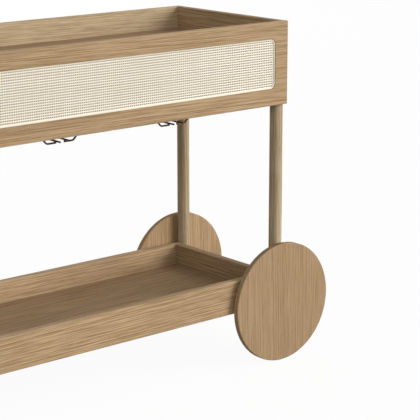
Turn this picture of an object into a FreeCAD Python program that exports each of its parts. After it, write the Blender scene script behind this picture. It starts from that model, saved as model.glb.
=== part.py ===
import FreeCAD, Part
import math
import operator
import os

import Sketcher

# Oak bar cart on two disc wheels and two legs: an upper tray box with cane panels, a lower tray, four round
# posts, the left two of which are the legs, and two wire racks for stemware. Millimetres. +X runs along the
# cart towards its wheels, the front faces -Y and +Z is up. The cart is drawn about the middle of its trays
# and written with the origin on the floor under the middle of its whole length, wheels included.

DRIVING_SIZES = {
    # Upper tray box
    "total_height": 800,
    "upper_length": 916,
    "upper_depth": 390,
    "upper_height": 189,
    "upper_wall": 18,
    "upper_tray_depth": 51,
    "upper_floor_thickness": 12,
    "bottom_recess": 17,
    "bottom_thickness": 12,
    "cleat_width": 18,
    "upper_cleat_height": 18,
    "floor_clearance": 0.5,
    "edge_ease": 1,
    # Cane panels of the front and the back
    "cane_border": 38,
    "cane_corner": 13,
    "cane_recess": 5,
    "cane_thickness": 2,
    "cane_clearance": 0.2,
    "spline_width": 3,
    "spline_sink": 0.5,
    # Lower tray, with its rim measured from the axles
    "lower_depth": 359,
    "lower_rim": 71.5,
    "lower_height": 77.5,
    "lower_wall": 18,
    "lower_tray_depth": 50,
    "lower_floor_thickness": 12,
    "lower_cleat_height": 14,
    # Posts, inset from the long faces of the lower tray
    "post_diameter": 30,
    "post_inset": 11.5,
    "post_tail": 27,
    "post_seat": 2,
    "stud_diameter": 8,
    "stud_in_post": 40,
    "stud_in_panel": 34,
    # Glides under the legs
    "glide_diameter": 24,
    "glide_thickness": 4,
    "glide_pin_diameter": 5,
    "glide_pin_length": 16,
    # Wood dowels of the corner joints, and the clearances of drilled holes
    "dowel_diameter": 8,
    "dowel_length": 36,
    "dowel_in_panel": 10,
    "dowel_margin": 12,
    "hole_clearance": 0.1,
    "hole_end_clearance": 1,
    # Connecting screws from the posts into the lower tray
    "tray_screw_diameter": 7,
    "tray_screw_length": 65,
    "tray_screw_head": 10,
    "tray_screw_head_height": 3,
    "tray_screw_sink": 4,
    "tray_screw_margin": 20,
    "tray_screw_web": 6,
    # Wheels and axles
    "wheel_diameter": 283,
    "wheel_thickness": 14,
    "wheel_gap": 1.5,
    "wheel_round": 2,
    "hub_diameter": 64,
    "hub_thickness": 3,
    "spigot_diameter": 20,
    "spigot_length": 5,
    "shoulder_diameter": 17,
    "axle_diameter": 12,
    "thread_diameter": 10,
    "thread_overhang": 2,
    "thrust_clearance": 0.3,
    "running_clearance": 0.06,
    "press_clearance": 0.02,
    "bush_diameter": 16,
    "bush_flange": 20,
    "bush_flange_thickness": 1.5,
    "bush_sleeve": 8,
    "spotface_depth": 4,
    "washer_diameter": 17,
    "washer_thickness": 2.5,
    "nut_width": 16,
    "nut_height": 8,
    "hub_screw_circle": 44,
    "hub_screw_diameter": 4,
    "hub_screw_head": 7.4,
    "hub_screw_length": 11,
    # Stemware racks, set back from the front face
    "rack_spacing": 299,
    "rack_setback": 15,
    "rail_length": 300,
    "rail_pitch": 24.5,
    "rail_drop": 11,
    "wire_diameter": 4,
    "weld_gap": 0.05,
    "hanger_run": 33,
    "hanger_top": 56,
    "hanger_stem": 7,
    "hanger_bend": 8,
    "hanger_setback": 18,
    "hanger_spacing": 230,
    "tab_length": 26,
    "tab_width": 14,
    "tab_thickness": 2,
    "tab_screw_diameter": 3.5,
    "tab_screw_head": 7,
    "tab_screw_head_height": 2.2,
    "tab_screw_length": 12,
}
HUB_SCREWS = 4
CORNERS = {
    "front_right": (1, -1),
    "front_left": (-1, -1),
    "back_right": (1, 1),
    "back_left": (-1, 1),
}
SIDES = {"right": 1, "left": -1}
WHEEL_SIDE = SIDES["right"]
TOLERANCE = 1e-6

cart = FreeCAD.newDocument("bar_cart")
sheet = cart.addObject("Spreadsheet::Sheet", "sizes")
for row, (alias, number) in enumerate(DRIVING_SIZES.items(), start=1):
    sheet.set(f"A{row}", alias)
    sheet.set(f"B{row}", str(number))
    sheet.setAlias(f"B{row}", alias)
cart.recompute()


# Sizes: a value that keeps the formula of the cells that drive it

class Size:
    OPERATIONS = {"+": operator.add, "-": operator.sub, "*": operator.mul, "/": operator.truediv}

    def __init__(self, formula, value):
        self.formula = formula
        self.value = value

    @classmethod
    def of(cls, number):
        return number if isinstance(number, cls) else cls(f"({number})", float(number))

    @classmethod
    def joined(cls, left, sign, right):
        left, right = cls.of(left), cls.of(right)
        value = cls.OPERATIONS[sign](left.value, right.value)
        return cls(f"({left.formula} {sign} {right.formula})", value)

    def __add__(self, other):
        return Size.joined(self, "+", other)

    def __radd__(self, other):
        return Size.joined(other, "+", self)

    def __sub__(self, other):
        return Size.joined(self, "-", other)

    def __rsub__(self, other):
        return Size.joined(other, "-", self)

    def __mul__(self, other):
        return Size.joined(self, "*", other)

    def __rmul__(self, other):
        return Size.joined(other, "*", self)

    def __truediv__(self, other):
        return Size.joined(self, "/", other)

    def __neg__(self):
        return Size.joined(-1, "*", self)

    def __float__(self):
        return self.value


class Sizes:
    def __getattr__(self, alias):
        return Size(f"sizes.{alias}", float(sheet.get(alias)))


size = Sizes()


# Document objects bound to sizes

X_AXIS, Y_AXIS, Z_AXIS = FreeCAD.Vector(1, 0, 0), FreeCAD.Vector(0, 1, 0), FreeCAD.Vector(0, 0, 1)
POINTING = {
    "+x": FreeCAD.Rotation(Y_AXIS, 90),
    "-x": FreeCAD.Rotation(Y_AXIS, -90),
    "+y": FreeCAD.Rotation(X_AXIS, -90),
    "-y": FreeCAD.Rotation(X_AXIS, 90),
    "+z": FreeCAD.Rotation(),
}
HALF_TURN = FreeCAD.Rotation(Z_AXIS, 180)
Y_TO_Z = FreeCAD.Rotation(X_AXIS, 90)
sub_parts = {}


def sub_part(label, thing):
    thing.Label = label
    sub_parts[label] = thing
    return thing


def bind(thing, **sizes):
    for name, value in sizes.items():
        thing.setExpression(name, Size.of(value).formula)


def place(thing, x, y, z, rotation=FreeCAD.Rotation()):
    spot = [Size.of(value) for value in (x, y, z)]
    thing.Placement = FreeCAD.Placement(FreeCAD.Vector(*map(float, spot)), rotation)
    for name, value in zip("xyz", spot):
        thing.setExpression(f"Placement.Base.{name}", value.formula)


def board(name, x, y, z):
    """A board between two places on each axis."""
    box = cart.addObject("Part::Box", name)
    bind(box, Length=x[1] - x[0], Width=y[1] - y[0], Height=z[1] - z[0])
    place(box, x[0], y[0], z[0])
    return box


def rod(name, diameter, length, start, pointing):
    pin = cart.addObject("Part::Cylinder", name)
    bind(pin, Radius=diameter / 2, Height=length)
    place(pin, *start, rotation=POINTING[pointing])
    return pin


def group(name, members):
    together = cart.addObject("Part::Compound", name)
    together.Links = members
    return together


def cut(name, solid, tools):
    drilled = cart.addObject("Part::Cut", name)
    drilled.Base = solid
    drilled.Tool = group(f"{name}_tools", tools)
    return drilled


def headed(name, head, head_height, shank, length, start, pointing):
    """A screw whose head's underside is at start, with the shank pointing away from the head."""
    back = {"+": "-", "-": "+"}[pointing[0]] + pointing[1]
    screw = cart.addObject("Part::Fuse", name)
    screw.Base = rod(f"{name}_shank", shank, length, start, pointing)
    if back == "-z":
        x, y, z = start
        screw.Tool = rod(f"{name}_head", head, head_height, (x, y, z - head_height), "+z")
    else:
        screw.Tool = rod(f"{name}_head", head, head_height, start, back)
    return screw


def same(place, other):
    return abs(place - other) < TOLERANCE


def edge_names(shape, wanted):
    return [f"Edge{number}" for number, edge in enumerate(shape.Edges, start=1) if wanted(edge)]


def runs_along(edge, axis):
    ends = [vertex.Point for vertex in edge.Vertexes]
    return len(ends) == 2 and same(abs((ends[1] - ends[0]).normalize() * axis), 1)


def eased(name, solid, wanted):
    """The board with the wanted edges broken by a small chamfer."""
    cart.recompute()
    soft = cart.addObject("Part::Chamfer", name)
    soft.Base = solid
    ease = float(size.edge_ease)
    soft.Edges = [(int(edge[4:]), ease, ease) for edge in edge_names(solid.Shape, wanted)]
    return soft


def rounded_plate(name, x, y, z, corner):
    """A plate with its four corners, seen along Y, rounded."""
    plate = board(f"{name}_plate", x, y, z)
    cart.recompute()
    rounded = cart.addObject("Part::Fillet", name)
    rounded.Base = plate
    radius = float(corner)
    corners = edge_names(plate.Shape, lambda edge: runs_along(edge, Y_AXIS))
    rounded.Edges = [(int(edge[4:]), radius, radius) for edge in corners]
    return rounded


# Sketched bodies

def origin_feature(body, role):
    return next(feature for feature in body.Origin.OriginFeatures if feature.Role == role)


def sketch_on(body, name, plane, offset=0):
    sketch = body.newObject("Sketcher::SketchObject", name)
    sketch.AttachmentSupport = (origin_feature(body, plane), [""])
    sketch.MapMode = "FlatFace"
    offset = Size.of(offset)
    sketch.AttachmentOffset = FreeCAD.Placement(FreeCAD.Vector(0, 0, float(offset)), FreeCAD.Rotation())
    sketch.setExpression("AttachmentOffset.Base.z", offset.formula)
    return sketch


def hold_point(sketch, line, end, across, up):
    """Fix one end of a line, or the centre of a circle, at a place in the sketch."""
    for kind, value, axis in (("DistanceX", across, -2), ("DistanceY", up, -1)):
        value = Size.of(value)
        if value.formula == "(0)":
            sketch.addConstraint(Sketcher.Constraint("PointOnObject", line, end, axis))
        else:
            number = sketch.addConstraint(Sketcher.Constraint(kind, -1, 1, line, end, value.value))
            sketch.setExpression(f"Constraints[{number}]", value.formula)


def outline(sketch, points):
    """A closed outline of straight lines through the points."""
    first = sketch.GeometryCount
    spots = [FreeCAD.Vector(float(Size.of(x)), float(Size.of(y)), 0) for x, y in points]
    for start, end in zip(spots, spots[1:] + spots[:1]):
        sketch.addGeometry(Part.LineSegment(start, end), False)
    count = len(points)
    for step in range(count):
        following = first + (step + 1) % count
        sketch.addConstraint(Sketcher.Constraint("Coincident", first + step, 2, following, 1))
    for step, (x, y) in enumerate(points):
        hold_point(sketch, first + step, 1, x, y)


def circle(sketch, diameter, x, y):
    centre = FreeCAD.Vector(float(Size.of(x)), float(Size.of(y)), 0)
    ring = sketch.addGeometry(Part.Circle(centre, Z_AXIS, float(diameter) / 2), False)
    number = sketch.addConstraint(Sketcher.Constraint("Diameter", ring, float(diameter)))
    sketch.setExpression(f"Constraints[{number}]", diameter.formula)
    hold_point(sketch, ring, 3, x, y)


def rectangle(sketch, x, y):
    outline(sketch, [(x[0], y[0]), (x[1], y[0]), (x[1], y[1]), (x[0], y[1])])


def pad(body, sketch, length):
    feature = body.newObject("PartDesign::Pad", f"{sketch.Name}_pad")
    feature.Profile = sketch
    bind(feature, Length=length)
    cart.recompute()
    return feature


def pocket(body, sketch, length, reverse=False, both_ways=False):
    """Cut along the sketch's own normal, backwards unless reversed, and see that it removed something."""
    before = body.Shape.Volume
    feature = body.newObject("PartDesign::Pocket", f"{sketch.Name}_pocket")
    feature.Profile = sketch
    feature.Reversed = reverse
    feature.Midplane = both_ways
    bind(feature, Length=length)
    cart.recompute()
    if body.Shape.Volume >= before:
        raise RuntimeError(f"{feature.Name} removed nothing")
    return feature


def turn(body, sketch, kind):
    """Revolve a profile about the body's Y axis, to add it or to cut it away."""
    feature = body.newObject(f"PartDesign::{kind}", f"{sketch.Name}_turn")
    feature.Profile = sketch
    feature.ReferenceAxis = (origin_feature(body, "Y_Axis"), [""])
    feature.Angle = 360
    cart.recompute()
    return feature


def ring_of(body, features, count):
    """Repeat features round the body's Y axis."""
    pattern = body.newObject("PartDesign::PolarPattern", f"{features[0].Name}_ring")
    pattern.Originals = features
    pattern.Axis = (origin_feature(body, "Y_Axis"), [""])
    pattern.Angle = 360
    pattern.Occurrences = count
    body.Tip = pattern
    cart.recompute()
    return pattern


def dress_edges(body, kind, value, wanted):
    """Fillet or chamfer the edges of the body's tip that are wanted."""
    tip = body.Tip
    feature = body.newObject(f"PartDesign::{kind}", f"{tip.Name}_{kind.lower()}")
    feature.Base = (tip, edge_names(tip.Shape, wanted))
    bind(feature, **{"Radius" if kind == "Fillet" else "Size": value})
    cart.recompute()
    return feature


def turned(label, profiles):
    """A turned piece: closed profiles of (radius, place along Y) revolved about the Y axis."""
    body = cart.addObject("PartDesign::Body", label)
    sketch = sketch_on(body, f"{label}_profile", "XY_Plane")
    for profile in profiles:
        outline(sketch, profile)
    turn(body, sketch, "Revolution")
    return body


# Places worked out from the driving sizes

half_length = size.upper_length / 2
half_depth = size.upper_depth / 2
upper_bottom = size.total_height - size.upper_height
inner_half_length = half_length - size.upper_wall
inner_half_depth = half_depth - size.upper_wall
upper_floor_top = size.total_height - size.upper_tray_depth
upper_floor_under = upper_floor_top - size.upper_floor_thickness
bottom_under = upper_bottom + size.bottom_recess
bottom_top = bottom_under + size.bottom_thickness

post_radius = size.post_diameter / 2
post_x = half_length - size.upper_wall / 2
wheel_radius = size.wheel_diameter / 2
axle_z = wheel_radius
post_foot = axle_z - size.post_tail
leg_foot = size.glide_thickness
left_reach = max(half_length, post_x + post_radius, key=float)
whole_middle = (post_x + wheel_radius - left_reach) / 2

lower_half_length = post_x - post_radius + size.post_seat
lower_half_depth = size.lower_depth / 2
post_y = lower_half_depth - size.post_inset
lower_inner_half_length = lower_half_length - size.lower_wall
lower_inner_half_depth = lower_half_depth - size.lower_wall
lower_rim = axle_z + size.lower_rim
lower_bottom = lower_rim - size.lower_height
lower_floor_top = lower_rim - size.lower_tray_depth
lower_floor_under = lower_floor_top - size.lower_floor_thickness

tray_screw_low = axle_z + size.bush_diameter / 2 + size.tray_screw_web + size.tray_screw_diameter / 2
tray_screw_high = lower_rim - size.tray_screw_margin
tray_screw_levels = (tray_screw_low, tray_screw_high)

hole_wide = 2 * size.hole_clearance
dowel_hole = size.dowel_diameter + hole_wide
upper_dowel_low = upper_bottom + size.stud_in_panel + size.dowel_margin
upper_dowel_high = size.total_height - 2 * size.dowel_margin
upper_dowel_levels = (upper_dowel_low, (upper_dowel_low + upper_dowel_high) / 2, upper_dowel_high)
lower_dowel_levels = (lower_bottom + size.dowel_margin, (tray_screw_low + tray_screw_high) / 2)
lower_dowel_x = lower_half_length - size.lower_wall / 2


# Wood dowels and their holes: each crosses from a front or back panel into the end board beside it

def corner_pins(name, diameter, extra, x, inner_face, levels):
    pins = []
    for corner, (right, back) in CORNERS.items():
        for number, level in enumerate(levels, start=1):
            start = back * (inner_face + size.dowel_in_panel + extra)
            pointing = "-y" if back > 0 else "+y"
            length = size.dowel_length + 2 * extra
            pins.append(rod(f"{name}_{corner}_{number}", diameter, length,
                            (right * x, start, level), pointing))
    return pins


def corner_dowels(label, x, inner_face, levels):
    pins = corner_pins(label, size.dowel_diameter, Size.of(0), x, inner_face, levels)
    sub_part(label, group(label, pins))


def dowel_holes(name, x, inner_face, levels):
    return corner_pins(f"{name}_holes", dowel_hole, size.hole_end_clearance, x, inner_face, levels)


# Upper tray box

def stud_holes(name):
    """Holes over the four posts, for the studs in their tops."""
    return [rod(f"{name}_stud_hole_{corner}", size.stud_diameter + hole_wide,
                size.stud_in_panel + size.hole_end_clearance,
                (right * post_x, back * post_y, upper_bottom), "+z")
            for corner, (right, back) in CORNERS.items()]


def cane_panel(label, rotation):
    """A long panel with its cane recess, drilled for the corner dowels and for any stud under it."""
    body = cart.addObject("PartDesign::Body", f"{label}_board")
    face = sketch_on(body, f"{label}_face", "XZ_Plane", inner_half_depth)
    rectangle(face, (-half_length, half_length), (upper_bottom, size.total_height))
    pad(body, face, size.upper_wall)
    window = sketch_on(body, f"{label}_window", "XZ_Plane", half_depth)
    across = half_length - size.cane_border
    rectangle(window, (-across, across), cane_levels)
    pocket(body, window, size.cane_recess)
    depth = float(size.cane_recess)
    dress_edges(body, "Fillet", size.cane_corner,
                lambda edge: runs_along(edge, Y_AXIS) and same(edge.Length, depth))
    drilled = sketch_on(body, f"{label}_drilled", "XZ_Plane", inner_half_depth)
    for right in SIDES.values():
        for level in upper_dowel_levels:
            circle(drilled, dowel_hole, right * post_x, level)
    pocket(body, drilled, size.dowel_in_panel + size.hole_end_clearance, reverse=True)
    outer, top = -float(half_depth), float(size.total_height)
    bottom, end = float(upper_bottom), float(half_length)

    def on_rim(edge):
        spot = edge.CenterOfMass
        on_border = same(spot.z, top) or same(spot.z, bottom) or same(abs(spot.x), end)
        return (same(spot.y, outer) and on_border) or (same(spot.z, top) and runs_along(edge, X_AXIS))

    dress_edges(body, "Chamfer", size.edge_ease, on_rim)
    body.Placement = FreeCAD.Placement(FreeCAD.Vector(), rotation)
    sub_part(label, cut(label, body, stud_holes(label)))


def cane_sheet(label, outward):
    """The woven sheet lying on the floor of the recess."""
    across = half_length - size.cane_border - size.cane_clearance
    floor = half_depth - size.cane_recess
    low, high = (level + sign * size.cane_clearance for level, sign in zip(cane_levels, (1, -1)))
    depths = sorted((outward * floor, outward * (floor + size.cane_thickness)), key=float)
    sheet_plate = rounded_plate(label, (-across, across), depths, (low, high),
                                size.cane_corner - size.cane_clearance)
    sub_part(label, sheet_plate)


def cane_spline(label, outward):
    """The reed bead that holds the edge of the sheet, lying on it all round the recess."""
    seat = half_depth - size.cane_recess + size.cane_thickness
    crown = half_depth - size.spline_sink
    rings = []
    for name, inset in (("outer", size.cane_clearance), ("inner", size.cane_clearance + size.spline_width)):
        across = half_length - size.cane_border - inset
        low, high = (level + sign * inset for level, sign in zip(cane_levels, (1, -1)))
        depths = sorted((outward * seat, outward * crown), key=float)
        rings.append(rounded_plate(f"{label}_{name}", (-across, across), depths, (low, high),
                                   size.cane_corner - inset))
    sub_part(label, cut(label, rings[0], rings[1:]))


def upper_end(label, right):
    """An end board between the long panels, drilled for the corner dowels and the post studs."""
    x = sorted((right * inner_half_length, right * half_length), key=float)
    blank = board(f"{label}_blank", x, (-inner_half_depth, inner_half_depth),
                  (upper_bottom, size.total_height))
    top, outer = float(size.total_height), right * float(half_length)

    def on_rim(edge):
        spot = edge.CenterOfMass
        low_outside = same(spot.x, outer) and same(spot.z, float(upper_bottom))
        return runs_along(edge, Y_AXIS) and (same(spot.z, top) or low_outside)

    soft = eased(f"{label}_eased", blank, on_rim)
    holes = dowel_holes(label, post_x, inner_half_depth, upper_dowel_levels)
    sub_part(label, cut(label, soft, holes + stud_holes(label)))


def floor_board(label, half_x, half_y, top, thickness):
    """A loose floor board between the walls of a tray."""
    x, y = half_x - size.floor_clearance, half_y - size.floor_clearance
    sub_part(label, board(label, (-x, x), (-y, y), (top - thickness, top)))


def cleats(label, half_x, half_y, low, height):
    """Four battens along the inside of a tray, the short ones between the long ones."""
    inner_y = half_y - size.cleat_width
    inner_x = half_x - size.cleat_width
    levels = (low, low + height)
    battens = [
        board(f"{label}_front", (-half_x, half_x), (-half_y, -inner_y), levels),
        board(f"{label}_back", (-half_x, half_x), (inner_y, half_y), levels),
        board(f"{label}_left", (-half_x, -inner_x), (-inner_y, inner_y), levels),
        board(f"{label}_right", (inner_x, half_x), (-inner_y, inner_y), levels),
    ]
    sub_part(label, group(label, battens))


cane_levels = (upper_bottom + size.cane_border, size.total_height - size.cane_border)
cane_panel("upper_front_panel", FreeCAD.Rotation())
cane_panel("upper_back_panel", HALF_TURN)
cane_sheet("front_cane", -1)
cane_sheet("back_cane", 1)
cane_spline("front_cane_spline", -1)
cane_spline("back_cane_spline", 1)
upper_end("upper_right_end", 1)
upper_end("upper_left_end", -1)
floor_board("upper_floor", inner_half_length, inner_half_depth, upper_floor_top, size.upper_floor_thickness)
cleats("upper_floor_cleats", inner_half_length, inner_half_depth,
       upper_floor_under - size.upper_cleat_height, size.upper_cleat_height)
cleats("upper_bottom_cleats", inner_half_length, inner_half_depth, bottom_top, size.upper_cleat_height)
corner_dowels("upper_corner_dowels", post_x, inner_half_depth, upper_dowel_levels)


# Lower tray

def lower_long_panel(label, back):
    """A long panel of the lower tray, drilled for the corner dowels and, in its ends, the post screws."""
    y = sorted((back * lower_inner_half_depth, back * lower_half_depth), key=float)
    blank = board(f"{label}_blank", (-lower_half_length, lower_half_length), y, (lower_bottom, lower_rim))
    rims = (float(lower_bottom), float(lower_rim))
    outer = back * float(lower_half_depth)

    def on_rim(edge):
        spot = edge.CenterOfMass
        top = same(spot.z, rims[1])
        low_outside = same(spot.z, rims[0]) and same(spot.y, outer)
        return runs_along(edge, X_AXIS) and (top or low_outside)

    soft = eased(f"{label}_eased", blank, on_rim)
    holes = dowel_holes(label, lower_dowel_x, lower_inner_half_depth, lower_dowel_levels)
    for side, right in SIDES.items():
        for number, level in enumerate(tray_screw_levels, start=1):
            start = (right * (lower_half_length + size.hole_end_clearance), back * post_y, level)
            reach = tray_screw_reach + 2 * size.hole_end_clearance
            holes.append(rod(f"{label}_screw_hole_{side}_{number}", size.tray_screw_diameter + hole_wide,
                             reach, start, "-x" if right > 0 else "+x"))
    sub_part(label, cut(label, soft, holes))


def lower_end(label, right):
    x = sorted((right * lower_inner_half_length, right * lower_half_length), key=float)
    y = (-lower_inner_half_depth, lower_inner_half_depth)
    blank = board(f"{label}_blank", x, y, (lower_bottom, lower_rim))
    top = float(lower_rim)
    soft = eased(f"{label}_eased", blank,
                 lambda edge: runs_along(edge, Y_AXIS) and same(edge.CenterOfMass.z, top))
    holes = dowel_holes(label, lower_dowel_x, lower_inner_half_depth, lower_dowel_levels)
    sub_part(label, cut(label, soft, holes))


tray_screw_seat = post_radius - size.tray_screw_sink
tray_screw_reach = size.tray_screw_length - tray_screw_seat - (post_radius - size.post_seat)
lower_long_panel("lower_front_panel", -1)
lower_long_panel("lower_back_panel", 1)
lower_end("lower_right_end", 1)
lower_end("lower_left_end", -1)
floor_board("lower_floor", lower_inner_half_length, lower_inner_half_depth, lower_floor_top,
            size.lower_floor_thickness)
cleats("lower_floor_cleats", lower_inner_half_length, lower_inner_half_depth,
       lower_floor_under - size.lower_cleat_height, size.lower_cleat_height)
corner_dowels("lower_corner_dowels", lower_dowel_x, lower_inner_half_depth, lower_dowel_levels)


# Posts: round, with a flat seat for the lower tray and the axle bore or a glide at the foot. In each post's
# own frame the axles' level is at z = 0

def round_bar(label, foot):
    """The bar from its foot up to the upper tray box."""
    body = cart.addObject("PartDesign::Body", label)
    section = sketch_on(body, f"{label}_round", "XY_Plane", foot - axle_z)
    circle(section, size.post_diameter, 0, 0)
    pad(body, section, upper_bottom - foot)
    bottom = float(foot - axle_z)
    dress_edges(body, "Chamfer", size.edge_ease, lambda edge: same(edge.CenterOfMass.z, bottom))
    return body


def glide_hole(label, body):
    """The hole in the foot of a leg for the pin of its glide."""
    hole = sketch_on(body, f"{label}_glide_hole", "XY_Plane", leg_foot - axle_z)
    circle(hole, size.glide_pin_diameter + hole_wide, 0, 0)
    pocket(body, hole, size.glide_pin_length + size.hole_end_clearance, reverse=True)


def axle_bore(label, body):
    """The bore along Y for the axle's bushes, spotfaced for their flanges."""
    bore = sketch_on(body, f"{label}_bore", "YZ_Plane")
    spot_floor = post_radius - size.spotface_depth
    spot_radius = size.bush_flange / 2 + size.hole_clearance
    bore_radius = size.bush_diameter / 2 + size.press_clearance
    outline(bore, [
        (-size.post_diameter, 0), (-size.post_diameter, spot_radius), (-spot_floor, spot_radius),
        (-spot_floor, bore_radius), (spot_floor, bore_radius), (spot_floor, spot_radius),
        (size.post_diameter, spot_radius), (size.post_diameter, 0),
    ])
    before = body.Shape.Volume
    turn(body, bore, "Groove")
    if body.Shape.Volume >= before:
        raise RuntimeError(f"the bore of {label} removed nothing")


def post(label, right, back):
    """A post over a wheel, or on the other side a leg that stands on its glide."""
    over_wheel = right == WHEEL_SIDE
    body = round_bar(label, post_foot if over_wheel else leg_foot)

    seat = sketch_on(body, f"{label}_seat", "XZ_Plane")
    rectangle(seat, (-size.post_diameter, size.post_seat - post_radius),
              (lower_bottom - axle_z, lower_rim - axle_z))
    pocket(body, seat, size.post_diameter, both_ways=True)

    if over_wheel:
        axle_bore(label, body)
    else:
        glide_hole(label, body)

    screws = sketch_on(body, f"{label}_screws", "YZ_Plane")
    heads = sketch_on(body, f"{label}_heads", "YZ_Plane", tray_screw_seat)
    for level in tray_screw_levels:
        circle(screws, size.tray_screw_diameter + hole_wide, 0, level - axle_z)
        circle(heads, size.tray_screw_head + hole_wide, 0, level - axle_z)
    pocket(body, screws, 2 * size.post_diameter, both_ways=True)
    pocket(body, heads, size.post_diameter, reverse=True)

    stud = sketch_on(body, f"{label}_stud", "XY_Plane", upper_bottom - axle_z)
    circle(stud, size.stud_diameter + hole_wide, 0, 0)
    pocket(body, stud, size.stud_in_post + size.hole_end_clearance)
    place(body, right * post_x, back * post_y, axle_z, FreeCAD.Rotation() if right > 0 else HALF_TURN)
    sub_part(label, body)


studs = []
tray_screws = []
for corner, (right, back) in CORNERS.items():
    post(f"post_{corner}", right, back)
    stud_start = (right * post_x, back * post_y, upper_bottom - size.stud_in_post)
    studs.append(rod(f"stud_{corner}", size.stud_diameter, size.stud_in_post + size.stud_in_panel,
                     stud_start, "+z"))
    for number, level in enumerate(tray_screw_levels, start=1):
        seat = (right * (post_x + tray_screw_seat), back * post_y, level)
        tray_screws.append(headed(f"tray_screw_{corner}_{number}", size.tray_screw_head,
                                  size.tray_screw_head_height, size.tray_screw_diameter,
                                  size.tray_screw_length, seat, "-x" if right > 0 else "+x"))
sub_part("post_studs", group("post_studs", studs))
sub_part("tray_screws", group("tray_screws", tray_screws))


# Glides: a pad with a pin, pressed up into the foot of each leg

def leg_glide(label):
    pad_radius, pin_radius = size.glide_diameter / 2, size.glide_pin_diameter / 2
    pin_end = size.glide_thickness + size.glide_pin_length
    body = turned(label, [[
        (0, 0), (pad_radius, 0), (pad_radius, size.glide_thickness),
        (pin_radius, size.glide_thickness), (pin_radius, pin_end), (0, pin_end),
    ]])
    rim = float(pad_radius)

    def round_underside(edge):
        round_edge = hasattr(edge.Curve, "Radius") and same(edge.Curve.Radius, rim)
        return round_edge and same(edge.CenterOfMass.y, 0)

    dress_edges(body, "Fillet", size.edge_ease, round_underside)
    return body


for corner, (right, back) in CORNERS.items():
    if right != WHEEL_SIDE:
        glide = leg_glide(f"leg_glide_{corner}")
        place(glide, right * post_x, back * post_y, 0, Y_TO_Z)
        sub_part(glide.Name, glide)


# Wheels: in each wheel's own frame the inner face is at y = 0, the disc lies towards -Y and the axle
# points towards +Y, through the post

hub_radius = size.hub_diameter / 2
spigot_radius = size.spigot_diameter / 2
axle_radius = size.axle_diameter / 2
thread_radius = size.thread_diameter / 2
outer_seat = size.wheel_gap + size.spotface_depth
inner_seat = size.wheel_gap + size.post_diameter - size.spotface_depth
outer_thrust = outer_seat - size.bush_flange_thickness
inner_thrust = inner_seat + size.bush_flange_thickness
washer_start = inner_thrust + size.thrust_clearance
nut_start = washer_start + size.washer_thickness
nut_end = nut_start + size.nut_height
screw_radius = size.hub_screw_circle / 2


def wheel_disc(label):
    recess = hub_radius + size.hole_clearance
    pilot = spigot_radius + size.hole_clearance
    pilot_floor = -(size.hub_thickness + size.spigot_length)
    body = turned(label, [[
        (0, -size.wheel_thickness), (wheel_radius, -size.wheel_thickness), (wheel_radius, 0), (recess, 0),
        (recess, -size.hub_thickness), (pilot, -size.hub_thickness), (pilot, pilot_floor), (0, pilot_floor),
    ]])
    holes = sketch_on(body, f"{label}_screw_hole", "XZ_Plane", size.hub_thickness)
    circle(holes, size.hub_screw_diameter + hole_wide, screw_radius, 0)
    depth = size.hub_screw_length - size.hub_thickness + size.hole_end_clearance
    drilled = pocket(body, holes, depth, reverse=True)
    ring_of(body, [drilled], HUB_SCREWS)
    rim = float(wheel_radius)
    dress_edges(body, "Fillet", size.wheel_round,
                lambda edge: hasattr(edge.Curve, "Radius") and same(edge.Curve.Radius, rim))
    return body


def wheel_hub(label):
    """The flange let into the wheel, its spigot, the shoulder that runs on the bush, and the axle."""
    spigot_end = size.hole_end_clearance - size.hub_thickness - size.spigot_length
    shoulder_radius = size.shoulder_diameter / 2
    shoulder_end = outer_thrust - size.thrust_clearance
    axle_end = nut_end + size.thread_overhang
    body = turned(label, [[
        (0, spigot_end), (spigot_radius, spigot_end), (spigot_radius, -size.hub_thickness),
        (hub_radius, -size.hub_thickness), (hub_radius, 0), (shoulder_radius, 0),
        (shoulder_radius, shoulder_end), (axle_radius, shoulder_end), (axle_radius, washer_start),
        (thread_radius, washer_start), (thread_radius, axle_end), (0, axle_end),
    ]])
    hole = sketch_on(body, f"{label}_screw_hole", "XZ_Plane")
    hole_diameter = size.hub_screw_diameter + hole_wide
    circle(hole, hole_diameter, screw_radius, 0)
    drilled = pocket(body, hole, 2 * size.hub_thickness, both_ways=True)
    ring_of(body, [drilled], HUB_SCREWS)
    wide = float(hole_diameter) / 2

    def at_hole_mouth(edge):
        round_edge = hasattr(edge.Curve, "Radius") and same(edge.Curve.Radius, wide)
        return round_edge and same(edge.CenterOfMass.y, 0)

    dress_edges(body, "Chamfer", (size.hub_screw_head - size.hub_screw_diameter) / 2, at_hole_mouth)
    return body


def hub_screws(label):
    """Countersunk screws through the flange into the wheel."""
    body = cart.addObject("PartDesign::Body", label)
    shank = sketch_on(body, f"{label}_shank", "XZ_Plane")
    circle(shank, size.hub_screw_diameter, screw_radius, 0)
    shaft = pad(body, shank, size.hub_screw_length)
    head = body.newObject("PartDesign::AdditiveCone", f"{label}_head")
    head.AttachmentSupport = (origin_feature(body, "XZ_Plane"), [""])
    head.MapMode = "FlatFace"
    bind(head, Radius1=size.hub_screw_head / 2, Radius2=size.hub_screw_diameter / 2,
         Height=(size.hub_screw_head - size.hub_screw_diameter) / 2)
    head.setExpression("AttachmentOffset.Base.x", screw_radius.formula)
    cart.recompute()
    ring_of(body, [shaft, head], HUB_SCREWS)
    return body


def axle_washer(label):
    bore = thread_radius + size.press_clearance
    edge = size.washer_diameter / 2
    ring = [(bore, washer_start), (edge, washer_start), (edge, nut_start), (bore, nut_start)]
    return turned(label, [ring])


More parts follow.
